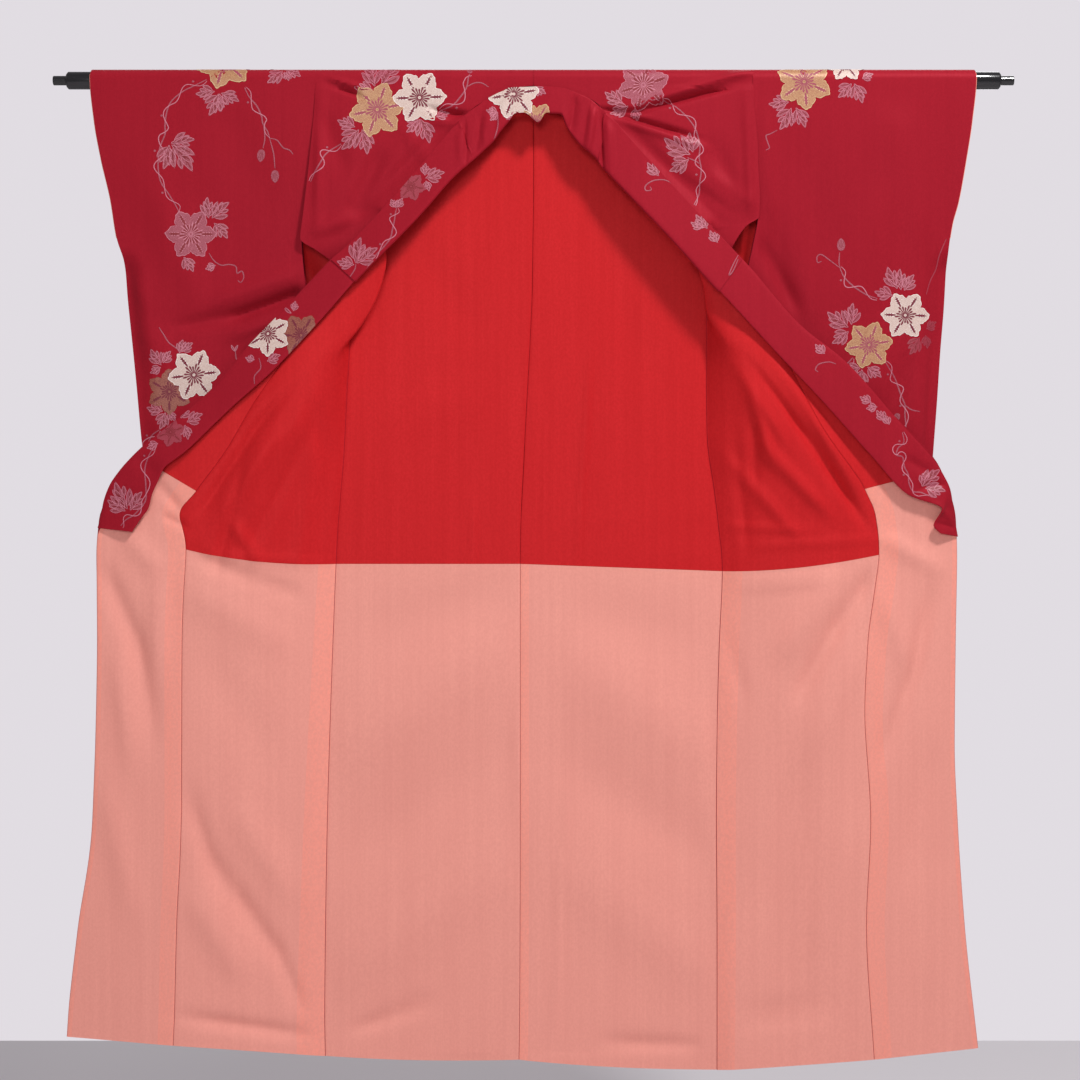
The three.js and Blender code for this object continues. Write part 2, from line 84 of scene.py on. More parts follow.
COLLAR_NECK = 240.0  # drop over which the stand grows from the one to the other
OVER_COLLAR_LIFT = 2.65
OVER_COLLAR_HALF = 0.5
SLEEVE_BOTTOM = -604.0
SLEEVE_ROUND = 18.0  # the sleeve's lower end closes over this height
SLEEVE_PINCH = 0.8  # half of the gap inside the cuff where it is sewn shut
SLEEVE_TURN = 31  # points of each ring over the rod
CUFF_OPENING_END = -240.0
CUFF_LINING_PROUD = 1.0
CUFF_LINING_DEEP = 40.0
NO_ALLOWANCE = -9.0  # mark of a lining with no seam allowance behind it
ALL_ALLOWANCE = 9.0


class Table:
    """A short table with named columns, read between its rows on smooth curves without overshoot."""

    def __init__(self, columns: str, rows: list[tuple[float, ...]], key: str | None = None) -> None:
        """Works out the slope of every column at each row: the harmonic mean of the rises beside it.

        Args:
            columns: The columns' names, parted by spaces.
            rows: One tuple of numbers for each row.
            key: The column that rows are looked up by, or None for the row's number.
        """
        values = np.array(rows, float)
        names = columns.split()
        self.columns = {name: values[:, i] for i, name in enumerate(names)}
        self.keys = self.columns[key] if key else np.arange(len(rows), dtype=float)
        self.slopes = {name: self._slope(column) for name, column in self.columns.items()}

    def _slope(self, values: np.ndarray) -> np.ndarray:
        """Returns the slope at each row, level where the values turn.

        Args:
            values: One column.

        Returns:
            A slope for each row.
        """
        rise = np.diff(values) / np.diff(self.keys)
        before, after = rise[:-1], rise[1:]
        both = np.where(before + after == 0, 1.0, before + after)
        inside = np.where(before * after <= 0, 0.0, 2 * before * after / both)
        return np.concatenate([rise[:1], inside, rise[-1:]])

    def at(self, where: np.ndarray, name: str) -> np.ndarray:
        """Reads one column.

        Args:
            where: Keys to read at.
            name: The column's name.

        Returns:
            The column there: a cubic between rows, with the rows' slopes.
        """
        where = np.asarray(where, float)
        i = np.clip(np.searchsorted(self.keys, where, side="right") - 1, 0, len(self.keys) - 2)
        step = self.keys[i + 1] - self.keys[i]
        t = np.clip((where - self.keys[i]) / step, 0, 1)
        value, slope = self.columns[name], self.slopes[name]
        ease, bump = t * t * (3 - 2 * t), t * (1 - t)
        lift = step * bump * ((1 - t) * slope[i] - t * slope[i + 1])
        return value[i] * (1 - ease) + value[i + 1] * ease + lift

    def read(self, where: np.ndarray) -> dict[str, np.ndarray]:
        """Reads every column at the same keys.

        Args:
            where: Keys to read at.

        Returns:
            The columns by their names.
        """
        return {name: self.at(where, name) for name in self.columns}


SEAM_DEPTH = Table("z y", [
    (-1490, -12), (-1110, -15), (-860, -18), (-680, -20), (-560, -24), (-400, -27),
    (-235, -25), (-120, -20), (-60, -17.5), (-14, -15.6), (0, -15.5),
], "z")
SIDE_DEPTH = Table("z y", [
    (-1490, 11.5), (-385, 11.5), (-344, 8), (-307, -2), (-274, -12), (-239, -21), (-120, -18.5), (0, -15.5),
], "z")
SLEEVE_DEPTH = Table("z y", [(-604, 4), (-400, 7), (-250, 10), (-100, 14), (0, 15.5)], "z")

# Sections of the back from the hem up: side seam, middle seam, and how far the hem bows.
BACK_COLUMNS = "sideX sideZ innerX innerZ bow"
LEFT_BACK = Table(BACK_COLUMNS, [
    (-315, -1466, -22, -1472, 3), (-316, -1402, -21, -1402, 2), (-312, -1109, -20, -1109, 1),
    (-299, -725, -20, -725, 0), (-287, -557, -14, -557, 0), (-278, -385, -5, -385, 0),
    (-341, -318, -2, -312, 0), (-347, -239, -1, -239, 0), (-338, -161, 0, -161, 0),
    (-328, -62, 0, -62, 0), (-325, -17, 0, -17, 0),
])
RIGHT_BACK = Table(BACK_COLUMNS, [
    (278, -1487, -22, -1472, 3), (278, -1402, -21, -1402, 2), (277, -1109, -20, -1109, 1),
    (286, -736, -20, -725, 0), (263, -529, -14, -557, 0), (262, -359, -5, -385, 0),
    (322, -288, -2, -312, 0), (336, -206, -1, -239, 0), (335, -134, 0, -161, 0),
    (331, -62, 0, -62, 0), (328, -17, 0, -17, 0),
])
# Sections of a front from the rod down: side seam, the point that the cloth is drawn towards,
# the seam of the overlap panel, and that panel's free edge.
FRONT_COLUMNS = "sideX sideZ drawX drawY drawZ innerX innerZ edgeX edgeZ"
LEFT_FRONT = Table(FRONT_COLUMNS, [
    (-325, -17, -163, -16, -16, -34, -14, -34, -14),
    (-326, -37, -185, -17, -32, -67, -29, -67, -29),
    (-328, -62, -212, -18, -59, -103, -56, -103, -56),
    (-332, -104, -238, -20, -107, -157, -118, -157, -118),
    (-338, -161, -263, -21, -172, -211, -181, -211, -181),
    (-343, -203, -170, -17, -212, -239, -212, -239, -212),
    (-347, -239, -155, -10, -244, -262, -236, -265, -239),
    (-323, -257, -146, -4, -281, -277, -260, -286, -259),
    (-301, -274, -158, -2, -322, -292, -286, -310, -281),
    (-284, -307, -188, -8, -367, -313, -322, -341, -314),
    (-278, -344, -225, -20, -397, -341, -367, -379, -355),
    (-278, -385, -283, -40, -437, -376, -427, -431, -409),
    (-283, -472, -323, -46, -497, -415, -484, -475, -461),
    (-287, -557, -365, -42, -562, -458, -557, -545, -521),
    (-293, -629, -403, -34, -629, -502, -616, -593, -562),
    (-297, -680, -407, -27, -683, -527, -652, -647, -659),
    (-299, -725, -410, -23, -728, -518, -703, -651, -719),
    (-304, -854, -413, -16, -854, -524, -839, -650, -839),
    (-312, -1109, -419, -10, -1109, -526, -1109, -658, -1109),
    (-315, -1289, -424, -4, -1289, -533, -1271, -680, -1267),
    (-316, -1402, -425, -8, -1400, -536, -1394, -694, -1387),
    (-315, -1466, -418, -10, -1453, -538, -1444, -697, -1431),
])
RIGHT_FRONT = Table(FRONT_COLUMNS, [
    (328, -17, 175, -16, -16, 41, -14, 41, -14),
    (329, -37, 197, -17, -32, 64, -22, 64, -22),
    (331, -62, 212, -18, -52, 92, -35, 92, -35),
    (334, -97, 227, -19, -82, 116, -61, 116, -61),
    (335, -134, 250, -20, -127, 170, -119, 170, -119),
    (337, -172, 287, -21, -182, 238, -194, 238, -194),
    (336, -206, 235, -16, -227, 272, -229, 275, -232),
    (317, -221, 183, -10, -254, 286, -248, 295, -254),
    (299, -247, 192, -8, -292, 299, -272, 317, -278),
    (283, -284, 214, -8, -329, 317, -307, 347, -313),
    (268, -325, 235, -18, -374, 337, -346, 377, -346),
    (262, -359, 283, -40, -427, 358, -386, 409, -380),
    (262, -442, 328, -48, -479, 388, -443, 457, -418),
    (263, -529, 358, -42, -550, 428, -521, 520, -487),
    (274, -614, 377, -34, -622, 493, -613, 606, -584),
    (280, -666, 388, -27, -671, 510, -655, 629, -659),
    (286, -736, 392, -23, -737, 515, -711, 631, -719),
    (281, -854, 388, -16, -854, 498, -847, 629, -854),
    (278, -977, 385, -14, -977, 494, -949, 628, -989),
    (277, -1109, 389, -10, -1109, 503, -1109, 633, -1109),
    (278, -1289, 388, -4, -1286, 497, -1267, 644, -1267),
    (278, -1487, 392, -10, -1476, 509, -1465, 664, -1448),
])
# Rows of those tables at which a panel, a lining or a colour begins or ends.
OVERLAP_TOP = 6.0
FRONT_LINING_TOP = 6.3
OVERLAP_LINING_TOP = 11.0
OVERLAP_SALMON = 14.0
COLLAR_END = 15.0
FRONT_SALMON = 16.0
FRONT_LAST = 21.0
BACK_SALMON = 3.0
BACK_LINING_TOP = 9.35
BACK_LAST = 10.0

# The collar from the end of its left half to that of its right: sewn edge and free edge.
COLLAR = Table("seamX seamZ freeX freeZ", [
    (-649, -671, -596, -677), (-644, -652, -583, -658), (-640, -632, -571, -641), (-631, -608, -566, -622),
    (-616, -586, -557, -602), (-586, -554, -548, -583), (-545, -521, -515, -557), (-482, -469, -449, -494),
    (-424, -401, -385, -437), (-350, -325, -310, -357), (-301, -272, -265, -305), (-275, -250, -246, -285),
    (-211, -181, -172, -209), (-157, -118, -119, -148), (-103, -56, -83, -115), (-83, -41, -59, -92),
    (-67, -29, -52, -82), (-46, -19, -38, -65), (-34, -14, -27, -53), (-5, -13, -13, -52),
    (10, -12, 7, -66), (28, -13, 19, -52), (41, -14, 40, -53), (64, -22, 50, -71),
    (85, -32, 67, -95), (103, -47, 94, -119), (117, -60, 104, -133), (170, -119, 138, -170),
    (238, -194, 203, -239), (296, -256, 262, -305), (326, -288, 290, -335), (395, -368, 358, -409),
    (464, -424, 427, -482), (535, -503, 499, -562), (605, -583, 556, -622), (621, -617, 606, -643),
    (626, -650, 594, -667), (632, -684, 604, -679),
])
OVER_COLLAR_ROWS = (10.0, 29.5)
COLLAR_LAST = 37.0

LEFT_CUFF = Table("z x", [
    (-604, -578), (-554, -586), (-449, -596), (-389, -602), (-331, -608), (-272, -613),
    (-238, -623), (-181, -632), (-119, -646), (-62, -656), (4, -662), (16, -661),
], "z")
RIGHT_CUFF = Table("z x", [
    (-604, 596), (-562, 599), (-482, 605), (-406, 610), (-344, 615), (-262, 620),
    (-218, 626), (-184, 635), (-122, 646), (-62, 655), (4, 661), (16, 660),
], "z")
LEFT_ARMHOLE = Table("z x", [
    (-604, -337), (-479, -338), (-323, -341), (-239, -347), (-203, -343), (-161, -338),
    (-104, -332), (-62, -328), (-37, -326), (-17, -325), (16, -325),
], "z")
RIGHT_ARMHOLE = Table("z x", [
    (-604, 319), (-479, 320), (-284, 322), (-251, 328), (-206, 336), (-172, 337),
    (-134, 335), (-97, 334), (-62, 331), (-37, 329), (-17, 328), (16, 328),
], "z")

# ---- folds: a line from (x, z) to (x, z), its half width, and its height towards the viewer ----
LEFT_FRONT_FOLDS = [
    (-632, -750, -590, -850, 14, -7), (-590, -850, -568, -970, 14, -6), (-498, -716, -420, -748, 9, -6),
    (-405, -753, -352, -772, 8, -5), (-514, -1080, -482, -1174, 13, -7), (-482, -1174, -434, -1240, 14, -8),
    (-434, -1240, -385, -1310, 14, -8), (-385, -1310, -352, -1385, 12, -5),
    (-505, -1405, -362, -1429, 11, -7),
    (-500, -1230, -440, -1330, 24, 7), (-440, -1100, -370, -1210, 24, 6), (-500, -770, -380, -840, 26, 5),
    (-480, -880, -400, -1010, 30, -4), (-560, -760, -560, -880, 16, 4), (-640, -1060, -600, -1230, 20, 4),
    (-350, -450, -407, -517, 9, -6.5), (-407, -517, -484, -632, 10, -7), (-283, -397, -365, -539, 14, 6),
    (-385, -536, -458, -650, 13, 6), (-323, -539, -350, -719, 14, 4), (-352, -560, -420, -690, 10, -4),
    (-436, -600, -470, -722, 9, -4), (-445, -668, -412, -716, 10, 4), (-340, -470, -312, -560, 12, -4),
    (-560, -605, -530, -640, 7, -4), (-548, -655, -520, -668, 6, -3), (-600, -690, -560, -730, 16, 4),
    (-470, -712, -330, -722, 7, 2.5), (-300, -600, -306, -690, 9, 3), (-620, -880, -600, -1010, 14, 4),
]
RIGHT_FRONT_FOLDS = [
    (499, -748, 451, -820, 13, -7), (451, -820, 400, -915, 13, -7), (593, -776, 565, -892, 13, -7),
    (565, -892, 523, -1006, 12, -6), (325, -1408, 445, -1382, 12, -6), (325, -757, 452, -746, 6, 3.5),
    (440, -760, 380, -850, 20, 6), (480, -860, 420, -990, 24, 5), (400, -1060, 350, -1240, 28, -5),
    (470, -1120, 430, -1290, 24, 5), (590, -1020, 560, -1180, 22, -5), (610, -1200, 590, -1350, 20, 4),
    (322, -470, 352, -560, 9, 7), (352, -560, 430, -640, 10, 6), (330, -510, 330, -600, 8, -4),
    (430, -560, 490, -660, 8, -5), (420, -520, 478, -610, 7, 4), (306, -560, 318, -680, 9, -3.5),
    (530, -690, 600, -730, 14, 5), (520, -770, 560, -880, 16, 4),
    (283, -667, 400, -674, 6, 2), (347, -697, 497, -689, 6, 2), (499, -742, 487, -776, 5, -2),
    (283, -397, 362, -524, 9, 6), (302, -397, 392, -517, 7, -8), (392, -517, 470, -629, 9, -7),
    (340, -404, 475, -584, 9, 6), (302, -580, 385, -672, 10, 4), (292, -839, 317, -929, 12, -2),
]
BACK_FOLDS = [
    (83, -449, 68, -683, 5, 2), (-91, -644, -91, -722, 5, 1.5), (51, -1109, 37, -1207, 4, 2),
    (37, -1207, 37, -1337, 4, 2), (37, -1337, 31, -1432, 4, 1.6), (85, -659, 280, -647, 6, 1.8),
    (100, -701, 280, -713, 6, 1.8), (160, -746, 250, -752, 6, 1.8), (-262, -1424, -160, -1388, 12, -6),
    (122, -1447, 235, -1451, 12, -5), (-262, -1000, -60, -850, 48, 8), (-262, -1160, -60, -1010, 44, -7),
    (-262, -1330, -60, -1180, 46, 7), (-240, -830, -70, -780, 30, -5), (70, -880, 250, -1000, 46, 7),
    (60, -1030, 250, -1160, 42, -7), (60, -1190, 250, -1330, 46, 6), (80, -800, 240, -840, 28, -4),
    (-190, -1080, -150, -1086, 5, 2), (-120, -1150, -100, -1156, 5, 2),
    (-230, -509, -95, -479, 30, 1.5), (-170, -254, -95, -374, 30, -2), (100, -254, 160, -419, 30, -2),
    (-346, -262, -326, -330, 14, -8), (326, -236, 316, -300, 13, -8),
]
LEFT_SHOULDER_FOLDS = [
    (-305, -8, -263, -24, 4, -6), (-298, -2, -256, -14, 4, 4), (-230, -119, -266, -190, 15, -6),
    (-150, -47, -98, -56, 5, -8), (-150, -62, -100, -72, 6, 4), (-313, -59, -283, -134, 14, -3),
    (-118, -68, -88, -46, 4, 3), (-127, -66, -288, -232, 12, -4.5), (-270, -210, -330, -232, 12, 5),
    (-190, -80, -150, -130, 12, 3), (-318, -40, -322, -220, 7, 3),
]
RIGHT_SHOULDER_FOLDS = [
    (166, -46, 322, -4, 4.5, -9), (190, -28, 318, 10, 5, 5), (142, -76, 310, -244, 12, -5),
    (130, -55, 228, -84, 4.5, -7.5), (140, -66, 236, -98, 6, 4), (105, -47, 165, -50, 4, -4.5),
    (272, -104, 302, -179, 14, -4), (275, -150, 326, -190, 12, 3), (240, -160, 300, -205, 9, -3),
    (318, -40, 324, -200, 7, 3), (124, -88, 290, -262, 6, 2),
]
LEFT_SLEEVE_FOLDS = [
    (-440, -352, -345, -318, 9, -13), (-440, -380, -345, -346, 10, 7), (-470, -330, -360, -292, 14, 5),
    (-520, -368, -440, -352, 11, -6), (-575, -149, -500, -329, 30, 3), (-598, -300, -560, -420, 22, 4),
    (-455, -59, -410, -179, 30, -2), (-620, -329, -545, -374, 20, -2), (-425, -397, -350, -374, 12, 4),
]
RIGHT_SLEEVE_FOLDS = [
    (600, -410, 590, -590, 6, -7), (574, -240, 566, -560, 18, 4), (400, -104, 445, -269, 30, -3),
    (355, -224, 400, -374, 18, -6), (520, -179, 490, -329, 30, 3), (344, -250, 385, -329, 10, -7),
    (560, -430, 500, -560, 18, -5), (540, -60, 580, -230, 26, 3), (346, -60, 356, -230, 8, 3),
]
COLLAR_FOLDS = [
    (-102, -60, -100, -128, 2.2, -3), (-110, -62, -108, -122, 5, 2), (-66, -40, -72, -100, 6, 1.5),
    (101, -48, 104, -135, 2.4, -5), (112, -52, 114, -130, 6, 3), (90, -42, 82, -104, 5, 4.5),
    (62, -34, 56, -78, 7, -4), (-38, -20, -52, -74, 4, 1.5), (-78, -62, -86, -108, 5, -2.5),
    (-600, -560, -560, -590, 14, -2), (556, -570, 590, -590, 7, -3.5), (575, -612, 616, -604, 6, -3),
    (596, -640, 628, -660, 6, 3), (600, -664, 630, -672, 4, -2),
]


def smooth_step(t: np.ndarray | float) -> np.ndarray:
    """Returns 0 below 0 and 1 above 1, with a smooth cubic rise between."""
    t = np.clip(t, 0, 1)
    return t * t * (3 - 2 * t)


def fold_height(x: np.ndarray, z: np.ndarray, folds: list[tuple[float, ...]]) -> np.ndarray:
    """Sums the folds' heights at points of the front view.

    Each fold is a bell across its line, fading out along it towards both of its ends.

    Args:
        x: Places across, in millimetres.
        z: Heights, in millimetres.
        folds: Rows of x, z, x, z, half width and height.

    Returns:
        Height towards the viewer, in millimetres.
    """
    total = np.zeros_like(x)
    for x0, z0, x1, z1, width, height in folds:
        length = math.hypot(x1 - x0, z1 - z0)
        ux, uz = (x1 - x0) / length, (z1 - z0) / length
        along = ((x - x0) * ux + (z - z0) * uz) / length
        across = (x - x0) * -uz + (z - z0) * ux
        fade = np.exp(-((np.abs(along - 0.5) / 0.62) ** 4))
        total += height * fade * np.exp(-((across / width) ** 2))
    return total


def gentle_waves(x: np.ndarray, z: np.ndarray, height: float, seed: float) -> np.ndarray:
    """Returns a soft unevenness: three long sine waves that cross at angles, of the given height.

    Args:
        x: Places across.
        z: Heights.
        height: The waves' height.
        seed: Shifts the waves.

    Returns:
        Height at each point, in millimetres.
    """
    one = np.sin(x / 47 + z / 210 + seed)
    two = np.sin(x / 91 - z / 133 + 2.1 * seed)
    three = np.sin(x / 29 + z / 61 + 0.7 * seed)
    return height * (0.5 * one + 0.35 * two + 0.15 * three)


@dataclass
class Cloth:
    """A surface of cloth as a grid of sections, in millimetres, with its normals facing outwards."""

    points: np.ndarray
    normals: np.ndarray
    drop: np.ndarray  # way along the cloth: the height in front, and on over the rod
    ring: bool = False

    @classmethod
    def over(
        cls, points: np.ndarray, side: float, drop: np.ndarray | None = None, ring: bool = False
    ) -> "Cloth":
        """Makes a cloth of a grid: each normal is the cross product of the steps across and along.

        Args:
            points: The grid, section by section.
            side: The sign that makes the normals face outwards.
            drop: Each point's way along the cloth, or None for its height.
            ring: Whether the sections are closed.

        Returns:
            The cloth.
        """
        if ring:
            across = np.roll(points, -1, 1) - np.roll(points, 1, 1)
        else:
            across = np.gradient(points, axis=1)
        along = np.gradient(points, axis=0)
        normals = np.cross(across, along)
        normals *= side / np.maximum(np.linalg.norm(normals, axis=2, keepdims=True), 1e-9)
        return cls(points, normals, points[..., 2] if drop is None else drop, ring)

    def rows(self, keep: np.ndarray, start_gap: float = 0.0, end_gap: float = 0.0) -> "Cloth":
        """Returns some of the sections, the first and last moved inwards by their gaps.

        Args:
            keep: The sections' numbers.
            start_gap: How far the first one moves, in millimetres.
            end_gap: How far the last one moves.

        Returns:
            The shorter cloth.
        """
        points, normals, drop = self.points[keep].copy(), self.normals[keep], self.drop[keep]
        for row, inner, gap in ((0, 1, start_gap), (-1, -2, end_gap)):
            step = points[inner] - points[row]
            points[row] += gap * step / np.linalg.norm(step, axis=1, keepdims=True)
        return Cloth(points, normals, drop)

    def trimmed(self, at_start: float, at_end: float | np.ndarray) -> "Cloth":
        """Returns the cloth with the two edges of every section moved inwards.

        Args:
            at_start: How far the first edge moves, in millimetres.
            at_end: How far the last one moves.

        Returns:
            The narrower cloth.
        """
        points = self.points.copy()
        for column, inner, gap in ((0, 1, at_start), (-1, -2, at_end)):
            step = self.points[:, inner] - self.points[:, column]
            unit = step / np.maximum(np.linalg.norm(step, axis=1, keepdims=True), 1e-9)
            points[:, column] += np.reshape(gap, (-1, 1)) * unit
        return Cloth(points, self.normals, self.drop)

    def from_seam(self, gap: np.ndarray, most: float = 0.6) -> "Cloth":
        """Returns the cloth with its last edge moved inwards, and every point of a section with it.

        A section's points slide along it: each keeps its share of the way that is left.

        Args:
            gap: How far the edge lies from the seam, in millimetres, for each section.
            most: The largest share of a section that may be taken away.

        Returns:
            The narrower cloth.
        """
        step = np.linalg.norm(np.diff(self.points, axis=1), axis=2)
        width = step.sum(1, keepdims=True)
        cut = 1 - np.minimum(np.reshape(gap, (-1, 1)) / width, most)
        columns = self.points.shape[1]
        place = np.linspace(0, 1, columns)[None, :] * cut * (columns - 1)
        i = np.clip(np.floor(place).astype(int), 0, columns - 2)
        t = (place - i)[..., None]
        row = np.arange(len(self.points))[:, None]
        points = self.points[row, i] * (1 - t) + self.points[row, i + 1] * t
        normals = self.normals[row, i] * (1 - t) + self.normals[row, i + 1] * t
        return Cloth(points, normals / np.linalg.norm(normals, axis=2, keepdims=True), points[..., 2])

    def area(self) -> float:
        """Returns the area of the sheet, in square metres."""
        a, b = np.diff(self.points, axis=0)[:, :-1], np.diff(self.points, axis=1)[:-1]
        return float(np.linalg.norm(np.cross(a, b), axis=2).sum()) * MM * MM

    def lengths(self) -> tuple[np.ndarray, np.ndarray]:
        """Returns each point's way across from the first edge and along from the first section, in mm.

        Returns:
            Two grids of lengths: across, and along on average.
        """
        across = np.linalg.norm(np.diff(self.points, axis=1), axis=2).cumsum(1)
        along = np.linalg.norm(np.diff(self.points, axis=0), axis=2).mean(1).cumsum()
        across = np.concatenate([np.zeros((len(across), 1)), across], 1)
        along = np.concatenate([[0.0], along])
        return across, np.broadcast_to(along[:, None], across.shape)


def grid_quads(rows: int, columns: int, ring: bool = False) -> np.ndarray:
    """Returns the four corners of each cell of a grid, by index arithmetic on whole arrays.

    Args:
        rows: Points along.
        columns: Points across.
        ring: Whether the last column meets the first.

    Returns:
        Four corner numbers for each cell.
    """
    v, u = np.meshgrid(np.arange(rows - 1), np.arange(columns if ring else columns - 1), indexing="ij")
    after = (u + 1) % columns
    corners = [v * columns + u, v * columns + after, (v + 1) * columns + after, (v + 1) * columns + u]
    return np.stack(corners, -1).reshape(-1, 4)


def new_object(
    name: str,
    points: np.ndarray,
    quads: np.ndarray,
    uv: np.ndarray | None = None,
    marks: dict[str, np.ndarray] | None = None,
    crease_degrees: float = 50.0,
) -> bpy.types.Object:
    """Puts arrays into a mesh object at the origin.

    Args:
        name: The piece's name.
        points: Corner places in millimetres, one row each.
        quads: Four corner numbers for each face.
        uv: Two numbers for each corner, for the map named Cloth.
        marks: Number attributes, one value for each corner.
        crease_degrees: Edges that bend more than this stay sharp.

    Returns:
        The object, smooth shaded.
    """
    mesh = bpy.data.meshes.new(name)
    mesh.from_pydata((points * MM).tolist(), [], quads.tolist())
    mesh.polygons.foreach_set("use_smooth", np.ones(len(mesh.polygons), bool))
    mesh.set_sharp_from_angle(angle=math.radians(crease_degrees))
    if uv is not None:
        corner = np.zeros(len(mesh.loops), np.int32)
        mesh.loops.foreach_get("vertex_index", corner)
        layer = mesh.uv_layers.new(name="Cloth")
        layer.data.foreach_set("uv", uv[corner].astype(np.float32).ravel())
    for mark, values in (marks or {}).items():
        mesh.attributes.new(mark, "FLOAT", "POINT").data.foreach_set("value", values.astype(np.float32))
    mesh.update()
    piece = bpy.data.objects.new(name, mesh)
    bpy.context.scene.collection.objects.link(piece)
    return piece


def wall(
    name: str,
    cloth: Cloth,
    near: float,
    far: float,
    profile: np.ndarray | None = None,
    marks: dict[str, np.ndarray] | None = None,
) -> bpy.types.Object:
    """Makes a closed wall: two copies of the grid, moved along its normals, joined by a rim.

    Args:
        name: The piece's name.
        cloth: The surface that it lies on.
        near: Offset of the first face from the surface, in millimetres.
        far: Offset of the second face.
        profile: Thins the offsets by column, for rounded edges.
        marks: Number attributes by grid point.

    Returns:
        The object.
    """
    scale = np.ones(cloth.points.shape[1]) if profile is None else profile
    faces = [cloth.points + cloth.normals * (offset * scale)[None, :, None] for offset in (near, far)]
    rows, columns = cloth.points.shape[:2]
    first = grid_quads(rows, columns, cloth.ring)
    second = first[:, ::-1] + rows * columns
    quads = [first, second]
    number = np.arange(rows * columns).reshape(rows, columns)
    top, bottom = number[0], number[-1]
    if cloth.ring:
        top, bottom = np.append(top, top[0]), np.append(bottom, bottom[0])
        loops = [top[::-1], bottom]
    else:
        loops = [top[::-1], bottom, number[:, 0], number[::-1, -1]]
    for loop in loops:
        a, b = loop[:-1], loop[1:]
        quads.append(np.stack([b, a, a + rows * columns, b + rows * columns], -1))
    quads = np.concatenate(quads)
    points = np.concatenate([face.reshape(-1, 3) for face in faces])
    if signed_volume(points, quads) < 0:
        quads = quads[:, ::-1]
    across, along = cloth.lengths()
    uv = np.stack([across, along], -1).reshape(-1, 2) * MM
    doubled = {key: np.tile(value.ravel(), 2) for key, value in (marks or {}).items()}
    return new_object(name, points, quads, np.tile(uv, (2, 1)), doubled)


def signed_volume(points: np.ndarray, quads: np.ndarray) -> float:
    """Returns the volume inside the faces, positive when they face outwards."""
    a, b, c, d = (points[quads[:, i]] for i in range(4))
    return float((np.cross(a, b) * c).sum() + (np.cross(a, c) * d).sum())


# ---- the garment's surfaces ----

def drawn(start: np.ndarray, towards: np.ndarray, end: np.ndarray, shares: np.ndarray) -> np.ndarray:
    """Returns sections that are parabolas between two edges, drawn towards a third point."""
    t = shares[None, :, None]
    return (1 - t) ** 2 * start[:, None] + 2 * t * (1 - t) * towards[:, None] + t * t * end[:, None]


def stack(*columns: np.ndarray) -> np.ndarray:
    """Returns points made of their x, y and z columns."""
    return np.stack(np.broadcast_arrays(*columns), -1)


def fine_rows(marks: list[float], step: float) -> np.ndarray:
    """Returns evenly spaced rows through all of the marks, none further apart than the step.

    Args:
        marks: Rows that must be there, in order.
        step: The widest gap.

    Returns:
        The rows.
    """
    counts = [max(math.ceil((b - a) / step), 1) for a, b in zip(marks, marks[1:])]
    parts = [np.linspace(a, b, count + 1)[:-1] for a, b, count in zip(marks, marks[1:], counts)]
    return np.concatenate(parts + [[marks[-1]]])


def between(rows: np.ndarray, low: float, high: float) -> np.ndarray:
    """Returns the numbers of the rows from low to high, both included."""
    slack = 1e-6
    return np.flatnonzero((rows >= low - slack) & (rows <= high + slack))


def edged(count: int) -> np.ndarray:
    """Returns even shares from 0 to 1 with three more close to each end, where a seam turns in."""
    return np.concatenate([[0, 0.004, 0.012], np.linspace(0.03, 0.97, count), [0.988, 0.996, 1]])


